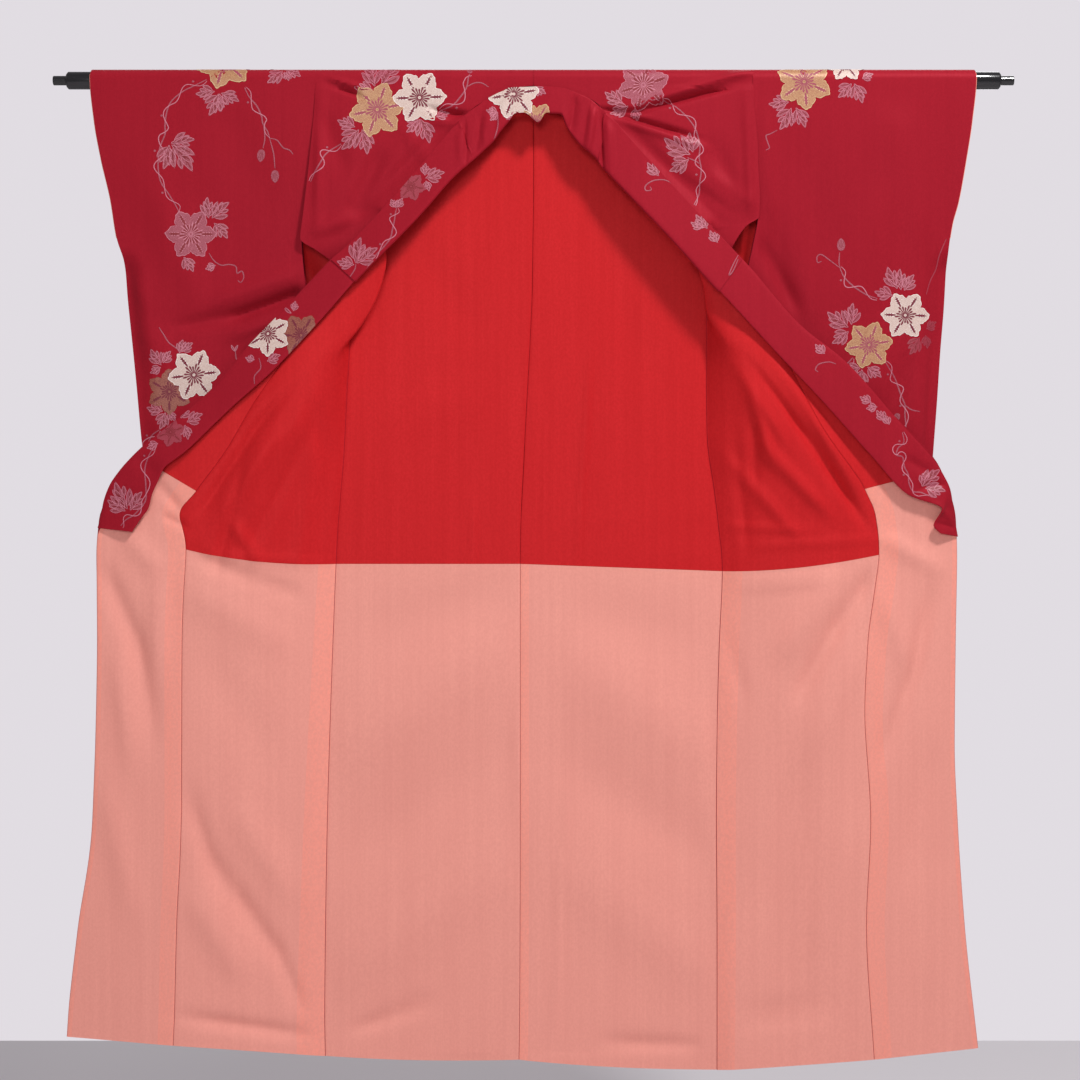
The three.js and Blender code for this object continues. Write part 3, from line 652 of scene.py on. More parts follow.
@dataclass
class Side:
    """The tables and folds of one side; side is -1 on the viewer's left and 1 on the right."""

    name: str
    side: float
    back: Table
    front: Table
    cuff: Table
    armhole: Table
    front_folds: list[tuple[float, ...]]
    shoulder_folds: list[tuple[float, ...]]
    sleeve_folds: list[tuple[float, ...]]
    shares: np.ndarray = field(default_factory=lambda: edged(57))
    back_rows: np.ndarray = field(
        default_factory=lambda: fine_rows([0, BACK_SALMON, BACK_LINING_TOP, BACK_LAST], 0.08))
    front_rows: np.ndarray = field(default_factory=lambda: fine_rows([
        0, OVERLAP_TOP, FRONT_LINING_TOP, OVERLAP_LINING_TOP, OVERLAP_SALMON, COLLAR_END, FRONT_SALMON,
        FRONT_LAST,
    ], 0.1))

    def back_surface(self) -> np.ndarray:
        """Returns the back from the hem up: level sections that bow a little at the hem, with its folds.

        Returns:
            The grid of points.
        """
        read = self.back.read(self.back_rows)
        side = stack(read["sideX"], CLOTH_RADIUS, read["sideZ"])
        inner = stack(read["innerX"], CLOTH_RADIUS, read["innerZ"])
        middle = (side + inner) / 2 + stack(0.0, 2 * read["bow"], -3 * read["bow"])
        points = drawn(side, middle, inner, self.shares)
        x, z = points[..., 0], points[..., 2]
        calm = smooth_step((-z - 40) / 90) * smooth_step((np.abs(x - inner[:, None, 0])) / 25)
        at_side = smooth_step(np.abs(x - side[:, None, 0]) / 30) + smooth_step((z + 450) / 80)
        points[..., 1] -= fold_height(x, z, BACK_FOLDS) * np.minimum(calm + 0.2, 1) * np.minimum(at_side, 1)
        below = smooth_step(1.2 - (z - BACK_HEM))
        points[..., 1] -= gentle_waves(x, z, 1.3, 1.0) * calm * below
        return points

    def over_rod(self) -> np.ndarray:
        """Returns the half turn over the rod between back and front, and a little below it at the neck.

        Returns:
            The grid of points.
        """
        angle = np.radians(np.linspace(4, 176, 30))
        y = np.append(CLOTH_RADIUS * np.cos(angle), [-CLOTH_RADIUS] * 3)
        z = np.append(CLOTH_RADIUS * np.sin(angle), [-3, -7, -11])
        points = stack(self.back.at(BACK_LAST, "sideX") * (1 - self.shares)[None, :], y[:, None], z[:, None])
        lift = np.maximum(fold_height(points[..., 0], points[..., 2], self.shoulder_folds), -ROD_SINK)
        points[..., 1] -= lift * smooth_step((-4 - points[..., 1]) / 11)
        return points

    def front_surface(self) -> np.ndarray:
        """Returns the front from the rod down: parabolas drawn inwards where it turns over, with its folds.

        Below the armhole its side edge is brought up to the back's, which closes the side seam.

        Returns:
            The grid of points.
        """
        read = self.front.read(self.front_rows)
        side = stack(read["sideX"], SIDE_DEPTH.at(read["sideZ"], "y"), read["sideZ"])
        inner = stack(read["innerX"], SEAM_DEPTH.at(read["innerZ"], "y"), read["innerZ"])
        points = drawn(side, stack(read["drawX"], read["drawY"], read["drawZ"]), inner, self.shares)
        seamed = smooth_step(self.front_rows - 10)
        points[:, 0, 0] -= self.side * SEAM_OVERLAP * seamed
        points = self._folded(points, self.front_rows)
        back = self.back_surface()[:, 0]
        seam = np.minimum(np.interp(points[:, 0, 2], back[:, 2], back[:, 1]), CLOTH_RADIUS + 1) - SEAM_STEP
        near = 1 - smooth_step(np.abs(points[..., 0] - points[:, :1, 0]) / SEAM_REACH)
        points[..., 1] += ((seam - points[:, 0, 1]) * seamed)[:, None] * near
        return points

    def overlap_surface(self) -> np.ndarray:
        """Returns the overlap panel: straight sections between its seam and its free edge, with its folds.

        Returns:
            The grid of points.
        """
        rows = self.front_rows[self.front_rows >= OVERLAP_TOP]
        read = self.front.read(rows)
        inner = stack(read["innerX"], SEAM_DEPTH.at(read["innerZ"], "y"), read["innerZ"])
        edge = stack(read["edgeX"], SEAM_DEPTH.at(read["edgeZ"], "y"), read["edgeZ"])
        t = edged(27)[None, :, None]
        return self._folded(inner[:, None] * (1 - t) + edge[:, None] * t, rows)

    def _folded(self, points: np.ndarray, rows: np.ndarray) -> np.ndarray:
        """Returns the sections with the folds of shoulder and front, and a soft unevenness lower down.

        Args:
            points: The sections, which are changed.
            rows: Their rows in the front's table.

        Returns:
            The same points.
        """
        x, z = points[..., 0], points[..., 2]
        low = smooth_step((rows - 11) / 2)[:, None]
        high = 1 - smooth_step((rows - 5) / 1.5)[:, None]
        deepest = -ROD_SINK - 10 * smooth_step((-13 - z) / 9)
        points[..., 1] -= fold_height(x, z, self.front_folds) * low
        points[..., 1] -= np.maximum(fold_height(x, z, self.shoulder_folds), deepest) * high
        points[..., 1] -= gentle_waves(x, z, 1.5, 2.0 + self.side) * low
        return points

    def body(self) -> tuple[Cloth, int]:
        """Returns back and front in one length, and the number of the front's first section.

        Returns:
            The cloth and the number.
        """
        up, over, down = self.back_surface(), self.over_rod(), self.front_surface()
        points = np.concatenate([up, over, down])
        way = np.append(np.linspace(OVER_ROD, 0, len(over) - 3), over[-3:, 0, 2])
        round_rod = np.broadcast_to(way[:, None], over.shape[:2])
        drop = np.concatenate([OVER_ROD - up[..., 2], round_rod, down[..., 2]])
        return Cloth.over(points, self.side, drop), len(up) + len(over)

    def sleeve(self) -> Cloth:
        """Returns the sleeve's rings round the rod: over it, down the back, under, and up the front.

        Returns:
            The cloth, whose sections are rings from the cuff to the armhole.
        """
        shares = np.concatenate([np.linspace(0, 0.14, 12)[:-1], np.linspace(0.14, 1, 42)])
        bottom = SLEEVE_BOTTOM
        even = np.linspace(-17, bottom + SLEEVE_ROUND, 130)
        levels = np.concatenate([[-5, -11], even, [bottom + 8, bottom + 2]])
        angle = np.radians(np.linspace(180, 0, SLEEVE_TURN))
        z = np.concatenate([CLOTH_RADIUS * np.sin(angle), levels, [bottom], levels[::-1]])
        facing = np.concatenate([np.zeros(SLEEVE_TURN), np.ones(len(levels)), [0], -np.ones(len(levels))])
        cuff, armhole = self.cuff.at(z, "x")[None], self.armhole.at(z, "x")[None]
        across = cuff * (1 - shares)[:, None] + armhole * shares[:, None]
        shut = smooth_step((CUFF_OPENING_END - 12 - z) / 40)[None] * (1 - smooth_step(shares / 0.12))[:, None]
        half = SLEEVE_DEPTH.at(z, "y")[None] * (1 - shut) + SLEEVE_PINCH * shut
        closing = np.sqrt(np.clip((z - bottom) / SLEEVE_ROUND, 0, 1))[None]
        y = facing[None] * half * np.maximum(closing, 0.05)
        y[:, :SLEEVE_TURN] = CLOTH_RADIUS * np.cos(angle)[None]
        points = stack(across, y, np.broadcast_to(z, across.shape))
        free = smooth_step((-points[..., 2] - 15) / 60) * smooth_step((shares / 0.08))[:, None]
        fixed = smooth_step((1 - shares) / 0.06)[:, None] + (points[..., 2] < -330)
        free = free * np.minimum(fixed, 1)
        lift = fold_height(points[..., 0], points[..., 2], self.sleeve_folds) * (points[..., 1] < 0)
        points[..., 1] -= (lift + gentle_waves(points[..., 0], points[..., 2], 1.0, 3 + self.side)) * free
        points[-1, :, 0] -= -self.side * SEAM_TRIM
        way = np.linspace(0, OVER_ROD, SLEEVE_TURN)
        drop = np.concatenate([way, OVER_ROD - levels, [OVER_ROD - bottom], levels[::-1]])
        return Cloth.over(points, self.side, np.broadcast_to(drop, across.shape).copy(), ring=True)


def collar_surface(rows: np.ndarray, shares: np.ndarray) -> np.ndarray:
    """Returns the folded band from its sewn edge to its free edge, which stands off the fronts.

    Args:
        rows: Rows of the collar's table.
        shares: Shares of its width from the sewn edge.

    Returns:
        The grid of points.
    """
    read = COLLAR.read(rows)
    depth = SEAM_DEPTH.at(read["seamZ"], "y") - COLLAR_LIFT
    ease = smooth_step(-read["seamZ"] / COLLAR_NECK)
    stand = COLLAR_STAND_AT_NECK * (1 - ease) + COLLAR_STAND * ease
    t = shares[None, :]
    x = read["seamX"][:, None] * (1 - t) + read["freeX"][:, None] * t
    z = read["seamZ"][:, None] * (1 - t) + read["freeZ"][:, None] * t
    free = smooth_step(t / 0.3)
    return stack(x, depth[:, None] - stand[:, None] * t - fold_height(x, z, COLLAR_FOLDS) * free, z)


# ---- finishes ----

class Nodes:
    """A material's node tree, with short ways to add and join its nodes."""

    def __init__(self, name: str) -> None:
        """Starts a material that holds one principled shader.

        Args:
            name: The material's name.
        """
        self.material = bpy.data.materials.new(name)
        self.material.use_nodes = True
        self.tree = self.material.node_tree
        self.tree.nodes.clear()
        self.shader = self.add("ShaderNodeBsdfPrincipled")
        output = self.add("ShaderNodeOutputMaterial")
        self.join(self.shader.outputs[0], output.inputs["Surface"])

    def add(self, kind: str, **settings: object) -> bpy.types.Node:
        """Adds a node and sets its properties and, by their names, its inputs.

        Args:
            kind: The node's type.
            **settings: Inputs or properties by name.

        Returns:
            The node.
        """
        node = self.tree.nodes.new(kind)
        for key, value in settings.items():
            if key in node.inputs:
                node.inputs[key].default_value = value
            else:
                setattr(node, key, value)
        return node

    def set(self, **values: object) -> None:
        """Sets inputs of the shader by their names, with _ for a space."""
        for key, value in values.items():
            self.shader.inputs[key.replace("_", " ")].default_value = value

    def join(self, start: bpy.types.NodeSocket, end: bpy.types.NodeSocket) -> None:
        """Links an output to an input."""
        self.tree.links.new(start, end)

    def blend(self, share: bpy.types.NodeSocket, first: object, second: object) -> bpy.types.NodeSocket:
        """Mixes two colours, or the outputs that carry them, by a share, and returns the result.

        Args:
            share: The second one's share.
            first: A colour or an output.
            second: A colour or an output.

        Returns:
            The output of the mix.
        """
        mix = self.add("ShaderNodeMix", data_type="RGBA")
        self.join(share, mix.inputs[0])
        for value, socket in ((first, mix.inputs[6]), (second, mix.inputs[7])):
            if isinstance(value, bpy.types.NodeSocket):
                self.join(value, socket)
            else:
                socket.default_value = value
        return mix.outputs[2]

    def maths(self, operation: str, first: object, second: object) -> bpy.types.NodeSocket:
        """Adds a sum on two numbers, or the outputs that carry them.

        Args:
            operation: The sum's name.
            first: A number or an output.
            second: A number or an output.

        Returns:
            The output of the sum.
        """
        node = self.add("ShaderNodeMath", operation=operation)
        for value, socket in ((first, node.inputs[0]), (second, node.inputs[1])):
            if isinstance(value, bpy.types.NodeSocket):
                self.join(value, socket)
            else:
                socket.default_value = value
        return node.outputs[0]

    def stretched_noise(
        self, source: bpy.types.NodeSocket, scale: tuple[float, float, float], detail: float = 2.0
    ) -> bpy.types.NodeSocket:
        """Adds noise whose grains are stretched by a different scale each way.

        Args:
            source: The coordinates.
            scale: Grains per unit, each way.
            detail: Octaves.

        Returns:
            The noise, about 0.5 on average.
        """
        mapping = self.add("ShaderNodeMapping", Scale=scale)
        self.join(source, mapping.inputs["Vector"])
        noise = self.add("ShaderNodeTexNoise", Scale=1.0, Detail=detail, Roughness=0.55)
        self.join(mapping.outputs[0], noise.inputs["Vector"])
        return noise.outputs["Fac"]

    def ramp(
        self, source: bpy.types.NodeSocket, low: float, high: float, onto: tuple[float, float] = (0.0, 1.0)
    ) -> bpy.types.NodeSocket:
        """Stretches a number's range from low to high onto another range, and clips it.

        Args:
            source: The number.
            low: Its value at the new range's start.
            high: Its value at the end.
            onto: The new range.

        Returns:
            The output.
        """
        node = self.add("ShaderNodeMapRange")
        self.join(source, node.inputs["Value"])
        for name, value in zip(("From Min", "From Max", "To Min", "To Max"), (low, high, *onto)):
            node.inputs[name].default_value = value
        return node.outputs[0]

    def bump(self, height: bpy.types.NodeSocket, strength: float, distance: float) -> None:
        """Adds a fine relief to the shader's normal.

        Args:
            height: The relief.
            strength: How much of it shows.
            distance: Its depth, in metres.
        """
        node = self.add("ShaderNodeBump", Strength=strength, Distance=distance)
        self.join(height, node.inputs["Height"])
        self.join(node.outputs[0], self.shader.inputs["Normal"])


def linear(red: int, green: int, blue: int) -> tuple[float, float, float, float]:
    """Returns a display colour from 0 to 255 as linear light, with full cover.

    Args:
        red: Red share.
        green: Green share.
        blue: Blue share.

    Returns:
        Four numbers from 0 to 1.
    """
    shares = [value / 255 for value in (red, green, blue)]
    light = [s / 12.92 if s <= 0.04045 else ((s + 0.055) / 1.055) ** 2.4 for s in shares]
    return (*light, 1.0)


@dataclass(frozen=True)
class WovenSilk:
    """A silk cloth: its colour, the shade of its deeper threads, and how it takes the light."""

    name: str
    colour: tuple[int, int, int]
    shade: tuple[int, int, int]
    roughness: float
    sheen: float
    slub: float  # share of the shade that the long uneven threads take
    relief: float
    gloss: float
    glint: tuple[int, int, int]  # dyed fibres colour their own shine
    allowance: tuple[int, int, int] | None = None  # where the seam allowance lies behind a thin lining

    def build(self) -> bpy.types.Material:
        """Builds the cloth: long slubs along and across, a soft mottle, a fine weave, and sheen.

        Returns:
            The material.
        """
        nodes = Nodes(self.name)
        cloth = nodes.add("ShaderNodeUVMap", uv_map="Cloth").outputs[0]
        place = nodes.add("ShaderNodeTexCoord").outputs["Object"]
        warp = nodes.stretched_noise(place, (620.0, 20.0, 7.0))
        grain = nodes.stretched_noise(cloth, (900.0, 700.0, 1.0))
        streaks = nodes.stretched_noise(place, (70.0, 4.0, 1.3))
        mottle = nodes.stretched_noise(place, (9.0, 9.0, 5.0))
        weave = nodes.maths("ADD", warp, grain)
        threads = nodes.maths("ADD", nodes.ramp(weave, 0.75, 1.25), nodes.ramp(streaks, 0.35, 0.65))
        slubs = nodes.maths("MULTIPLY", threads, 0.5 * self.slub)
        colour: object = nodes.blend(slubs, linear(*self.colour), linear(*self.shade))
        if self.allowance:
            mark = nodes.add("ShaderNodeAttribute", attribute_name="allowance").outputs["Fac"]
            share = nodes.ramp(mark, -0.6, 0.6)
            behind = nodes.blend(slubs, linear(*self.allowance), linear(*self.colour))
            colour = nodes.blend(share, colour, behind)
        soft = nodes.maths("MULTIPLY", nodes.ramp(mottle, 0.35, 0.7), 0.16)
        colour = nodes.blend(soft, colour, linear(*self.shade))
        grains = nodes.stretched_noise(place, (300.0, 60.0, 230.0))
        crepe = nodes.maths("MULTIPLY", nodes.ramp(grains, 0.35, 0.65), 0.45)
        colour = nodes.blend(crepe, colour, linear(*self.shade))
        nodes.join(colour, nodes.shader.inputs["Base Color"])
        rough = nodes.ramp(weave, 0.7, 1.3, (self.roughness - 0.06, self.roughness + 0.08))
        nodes.join(rough, nodes.shader.inputs["Roughness"])
        nodes.set(Specular_IOR_Level=self.gloss, Specular_Tint=linear(*self.glint))
        nodes.set(Sheen_Weight=self.sheen, Sheen_Roughness=0.4, Sheen_Tint=linear(*self.colour))
        nodes.bump(weave, self.relief, 0.0004)
        return nodes.material


@dataclass(frozen=True)
class Thread:
    """The floating threads of a woven motif: colour, shade between the threads, and shine."""

    name: str
    colour: tuple[int, int, int]
    shade: tuple[int, int, int]
    roughness: float
    metal: float = 0.0

    def build(self) -> bpy.types.Material:
        """Builds fine slanting rows of thread, lighter on their crowns than between them.

        Returns:
            The material.
        """
        nodes = Nodes(self.name)
        place = nodes.add("ShaderNodeTexCoord").outputs["Object"]
        turned = nodes.add("ShaderNodeMapping", Rotation=(0.0, math.radians(38), 0.0))
        nodes.join(place, turned.inputs["Vector"])
        wave = nodes.add("ShaderNodeTexWave", Scale=190.0, Distortion=1.5, Detail=1.0)
        wave.inputs["Detail Scale"].default_value = 2.0
        nodes.join(turned.outputs[0], wave.inputs["Vector"])
        grain = nodes.stretched_noise(turned.outputs[0], (420.0, 420.0, 900.0))
        both = nodes.maths("MULTIPLY", wave.outputs["Fac"], nodes.ramp(grain, 0.3, 0.62))
        colour = nodes.blend(both, linear(*self.shade), linear(*self.colour))
        nodes.join(colour, nodes.shader.inputs["Base Color"])
        nodes.set(Roughness=self.roughness, Metallic=self.metal)
        nodes.bump(wave.outputs["Fac"], 0.15, 0.0003)
        return nodes.material


@dataclass(frozen=True)
class Lacquer:
    """Black lacquer with a clear coat, and the faint dust and wiping marks of use."""

    name: str = "black_lacquer"
    colour: tuple[int, int, int] = (16, 16, 18)
    dust: tuple[int, int, int] = (34, 33, 36)

    def build(self) -> bpy.types.Material:
        """Builds the lacquer: a dark ground under a coat, its gloss varied by long soft wiping marks.

        Returns:
            The material.
        """
        nodes = Nodes(self.name)
        place = nodes.add("ShaderNodeTexCoord").outputs["Object"]
        marks = nodes.stretched_noise(place, (6.0, 160.0, 160.0), 4.0)
        colour = nodes.blend(nodes.ramp(marks, 0.45, 0.8), linear(*self.colour), linear(*self.dust))
        nodes.join(colour, nodes.shader.inputs["Base Color"])
        nodes.join(nodes.ramp(marks, 0.0, 1.0, (0.14, 0.3)), nodes.shader.inputs["Roughness"])
        nodes.set(Coat_Weight=0.6, Coat_Roughness=0.08)
        return nodes.material


class Finish(Enum):
    """The finishes of the garment and its rod."""

    CRIMSON = WovenSilk(
        "crimson_satin", (162, 30, 44), (148, 24, 38), 0.5, 0.0, 0.5, 0.2, 0.34, (245, 84, 104))
    RED = WovenSilk(
        "red_lining_silk", (208, 40, 44), (188, 29, 33), 0.46, 0.0, 0.5, 0.2, 0.35, (255, 110, 110))
    SALMON = WovenSilk(
        "salmon_lining_silk", (245, 164, 149), (231, 149, 136), 0.55, 0.05, 0.5, 0.2, 0.28, (255, 225, 220),
        allowance=(252, 156, 138),
    )
    LACQUER = Lacquer()
    MAUVE = Thread("mauve_thread", (186, 98, 114), (150, 52, 70), 0.5)
    DARK = Thread("dark_thread", (134, 30, 54), (108, 18, 38), 0.55)
    GOLD = Thread("gold_thread", (212, 172, 122), (170, 110, 82), 0.42, 0.1)
    AMBER = Thread("pale_gold_thread", (232, 204, 160), (204, 162, 116), 0.42, 0.1)
    BROWN = Thread("brown_gold_thread", (182, 112, 88), (128, 58, 50), 0.45, 0.1)
    WHITE = Thread("white_thread", (230, 216, 204), (204, 172, 162), 0.5)
    PALE = Thread("pale_thread", (250, 240, 234), (232, 214, 206), 0.5)
    ROSE = Thread("rose_thread", (216, 142, 158), (188, 98, 116), 0.5)
    WINE = Thread("wine_thread", (146, 26, 42), (128, 18, 32), 0.55)
    # a subdued mauve for the faint motifs, also used as painted shade on the motifs along the right sleeve's
    # dark outer edge
    FAINT_AND_SHADED = Thread("faint_and_shaded_mauve_thread", (174, 70, 88), (152, 38, 54), 0.5)

    def on(self, piece: bpy.types.Object) -> None:
        """Dresses a piece, making the material once.

        Args:
            piece: The piece.
        """
        made = bpy.data.materials.get(self.value.name) or self.value.build()
        piece.data.materials.clear()
        piece.data.materials.append(made)


def settle(piece: bpy.types.Object, finish: Finish, nodes: list[str]) -> bpy.types.Object:
    """Dresses a piece, makes it ride on the body, and lets it stand for its CAD nodes.

    Args:
        piece: The piece.
        finish: What it is made of.
        nodes: The CAD nodes, if any.

    Returns:
        The piece.
    """
    finish.on(piece)
    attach(piece, BODY)
    if nodes:
        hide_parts(*nodes)
    log.info("%s: %d faces", piece.name, len(piece.data.polygons))
    return piece


def cut(piece: bpy.types.Object, width: float, length: float, area: float, held: str = "hung") -> None:
    """Takes a sheet's flat cut, works out the smaller of its area and width times length, and keeps nothing.

    Args:
        piece: The sheet; not used.
        width: Its flat width, in metres.
        length: Its flat length, in metres.
        area: Its flat area, which is no more than width times length.
        held: How it is held; not used.
    """
    min(area, width * length)


# ---- the pieces ----

@dataclass
class Rod:
    """The lacquered hanging rod, with chamfered shoulders and turned pins."""

    radius: float = 13.0
    half_length: float = 700.0
    chamfer: float = 3.0
    pin_radius: float = 7.0
    pin_length: float = 20.0
    ease: float = 0.6
    around: int = 64
    along: int = 42

    def build(self) -> bpy.types.Object:
        """Turns a profile round the X axis: pin, shoulder, chamfer and barrel, eased at each corner.

        Returns:
            The rod.
        """
        end, ease, shoulder, tip = self.half_length, self.ease, self.radius - self.chamfer, self.pin_radius
        right = np.array([
            (self.radius, end - self.chamfer - ease),
            (self.radius - ease * 0.4, end - self.chamfer + ease * 0.6),
            (shoulder + ease * 0.4, end - ease * 0.6), (shoulder - ease, end),
            (tip, end), (tip, end + self.pin_length - ease),
            (tip - ease, end + self.pin_length), (0.01, end + self.pin_length),
        ])
        left = right[::-1] * (1, -1)
        places = np.linspace(left[-1, 1], right[0, 1], self.along)[1:-1]
        barrel = np.stack([np.full(len(places), self.radius), places], -1)
        profile = np.concatenate([left, barrel, right])
        angle = np.linspace(0, 2 * math.pi, self.around, endpoint=False)[None]
        radius = profile[:, :1]
        points = stack(profile[:, 1:], radius * np.cos(angle), radius * np.sin(angle))
        quads = grid_quads(len(profile), self.around, ring=True)
        if signed_volume(points.reshape(-1, 3), quads) < 0:
            quads = quads[:, ::-1]
        piece = new_object("lacquered_rod", points.reshape(-1, 3), quads, crease_degrees=35)
        return settle(piece, Finish.LACQUER, ["rod"])


class Seam(Enum):
    """The seams whose allowance shows through the hem lining."""

    SIDE = "side seam"
    OVERLAP = "seam of the overlap panel"
    CENTRE = "middle seam of the back"


@dataclass
class Panels:
    """The panels of one side: body, overlap panel, sleeve, and the linings that lie on them."""

    side: Side
    cloths: dict[str, Cloth] = field(default_factory=dict)

    def build(self) -> None:
        """Builds body, overlap panel and sleeve, each with its linings."""
        self._body()
        self._overlap()
        self._sleeve()

    def _panel(self, part: str, cloth: Cloth, flat: tuple[float, float]) -> None:
        """Builds one panel of the outer cloth, and keeps its surface for the sprays.

        Args:
            part: Which panel: body, overlap or sleeve.
            cloth: Its surface, which runs on into the seams unless it is a ring.
            flat: Its flat width and length, in metres.
        """
        self.cloths[part] = cloth
        name = f"{part}_{self.side.name}"
        sewn = cloth if cloth.ring else cloth.trimmed(SEAM_TRIM, SEAM_TRIM)
        piece = wall(f"silk_{name}", sewn, CLOTH_HALF, -CLOTH_HALF)
        settle(piece, Finish.CRIMSON, [name])
        cut(piece, *flat, cloth.area())

    def _lining(self, name: str, cloth: Cloth, seam: Seam | None, flat: tuple[float, float]) -> None:
        """Lays one lining on the inside of its panel.

        Args:
            name: Its CAD node.
            cloth: The part of the panel's surface that it lies on.
            seam: The seam whose allowance shows through it: a salmon lining has one, and a red one has none.
            flat: Its flat width and length, in metres.
        """
        bare = np.full(cloth.points.shape[:2], NO_ALLOWANCE)
        marks = {"allowance": self._behind(cloth, seam) if seam else bare}
        tuck = np.ones(cloth.points.shape[1])
        tuck[:3], tuck[-3:] = SEAM_TUCK, SEAM_TUCK[::-1]
        piece = wall(f"silk_{name}", cloth, -LINING_NEAR, -LINING_FAR, profile=tuck, marks=marks)
        if seam:
            settle(piece, Finish.SALMON, [name])
        else:
            settle(piece, Finish.RED, [name])
        cut(piece, *flat, cloth.area())

    def _body(self) -> None:
        """Builds the body in one length and the linings of its back and front."""
        cloth, down = self.side.body()
        self._panel("body", cloth, (0.33, 3.05))
        back, front, gap = self.side.back_rows, self.side.front_rows, COLOUR_GAP
        red_back, hem_back = between(back, BACK_SALMON, BACK_LINING_TOP), between(back, 0, BACK_SALMON)
        red_front = down + between(front, FRONT_LINING_TOP, FRONT_SALMON)
        hem_front = down + between(front, FRONT_SALMON, FRONT_LAST)
        spans = [
            ("lining_back", red_back, (gap, 0), None, (0.35, 0.69)),
            ("hem_lining_back", hem_back, (0, gap), Seam.CENTRE, (0.31, 0.77)),
            ("lining_front", red_front, (0, gap), None, (0.33, 0.56)),
            ("hem_lining_front", hem_front, (gap, 0), Seam.SIDE, (0.26, 0.78)),
        ]
        for name, keep, gaps, seam, flat in spans:
            part = cloth.rows(keep, *gaps).trimmed(LINING_TRIM, LINING_TRIM)
            self._lining(f"{name}_{self.side.name}", part, seam, flat)

    def _overlap(self) -> None:
        """Builds the overlap panel and its lining, which stops short of the collar."""
        rows = self.side.front_rows[self.side.front_rows >= OVERLAP_TOP]
        cloth = Cloth.over(self.side.overlap_surface(), self.side.side)
        self._panel("overlap", cloth, (0.17, 1.3))
        spans = [
            ("lining_overlap", OVERLAP_LINING_TOP, OVERLAP_SALMON, (0, COLOUR_GAP), None, (0.12, 0.28)),
            ("hem_lining_overlap", OVERLAP_SALMON, FRONT_LAST, (COLOUR_GAP, 0), Seam.OVERLAP, (0.17, 0.88)),
        ]
        for name, low, high, gaps, seam, flat in spans:
            keep = between(rows, low, high)
            covered = smooth_step((COLLAR_END + 0.5 - rows[keep]) / 0.5)
            edge = LINING_TRIM + (LINING_TRIM_AT_COLLAR - LINING_TRIM) * covered
            part = cloth.rows(keep, *gaps).from_seam(edge).trimmed(LINING_TRIM, 0.0)
            self._lining(f"{name}_{self.side.name}", part, seam, flat)

    def _behind(self, cloth: Cloth, seam: Seam) -> np.ndarray:
        """Returns how far each point lies inside the seam allowance behind the lining, in millimetres.

        Args:
            cloth: The lining's surface.
            seam: The seam. Its allowance is as wide as a start plus a growth down to the hem; the middle
                seam's is turned to the right and has one width, and the overlap panel's free edge has its own.

        Returns:
            A length for each point, below zero outside the allowance.
        """
        across, along = cloth.lengths()
        from_end = across[:, -1:] - across
        right = self.side.side > 0
        if seam is Seam.CENTRE:
            return 13 - from_end if right else np.full(across.shape, NO_ALLOWANCE)
        if seam is Seam.SIDE:
            start, growth = (31, -4) if right else (27, 16)
            return start + growth * along / along.max() - across
        start, growth = (29, -3) if right else (27, -4)
        return np.maximum(start + growth * along / along.max() - across, 7 - from_end)

    def _sleeve(self) -> None:
        """Builds the sleeve and the edge of its lining that shows at the cuff."""
        cloth = self.side.sleeve()
        self._panel("sleeve", cloth, (0.34, 1.26))
        self._cuff(cloth)

    def _cuff(self, cloth: Cloth) -> None:
        """Lays the cuff's lining inside the sleeve, from a little outside its edge to some way inside.

        Args:
            cloth: The sleeve.
        """
        tag, side = self.side.name, self.side.side
        ring = cloth.points[0]
        count = len(ring)
        open_points = np.flatnonzero(ring[:, 2] >= CUFF_OPENING_END)
        gap = np.flatnonzero(np.diff(open_points) > 1)[0]
        start, last = open_points[gap + 1], open_points[gap]
        order = np.concatenate([np.arange(start, count), np.arange(0, last + 1)])
        reach = np.linspace(-CUFF_LINING_PROUD, CUFF_LINING_DEEP, 22)
        offset = np.abs(cloth.points[:, 40, 0] - cloth.points[0, 40, 0])
        rows = []
        for way in reach:
            i = int(np.clip(np.searchsorted(offset, max(way, 0)), 1, len(offset) - 1))
            t = (max(way, 0) - offset[i - 1]) / (offset[i] - offset[i - 1])
            row = cloth.points[i - 1] * (1 - t) + cloth.points[i] * t
            row = row + np.array([side * -min(way, 0), 0, 0])
            rows.append(row[order])
        lining = Cloth.over(np.stack(rows), side)
        marks = {"allowance": np.full(lining.points.shape[:2], ALL_ALLOWANCE)}
        piece = wall(f"silk_cuff_lining_{tag}", lining, -LINING_NEAR, -LINING_FAR, marks=marks)
        settle(piece, Finish.SALMON, [f"cuff_lining_{tag}"])
        cut(piece, 0.045, 0.54, lining.area())


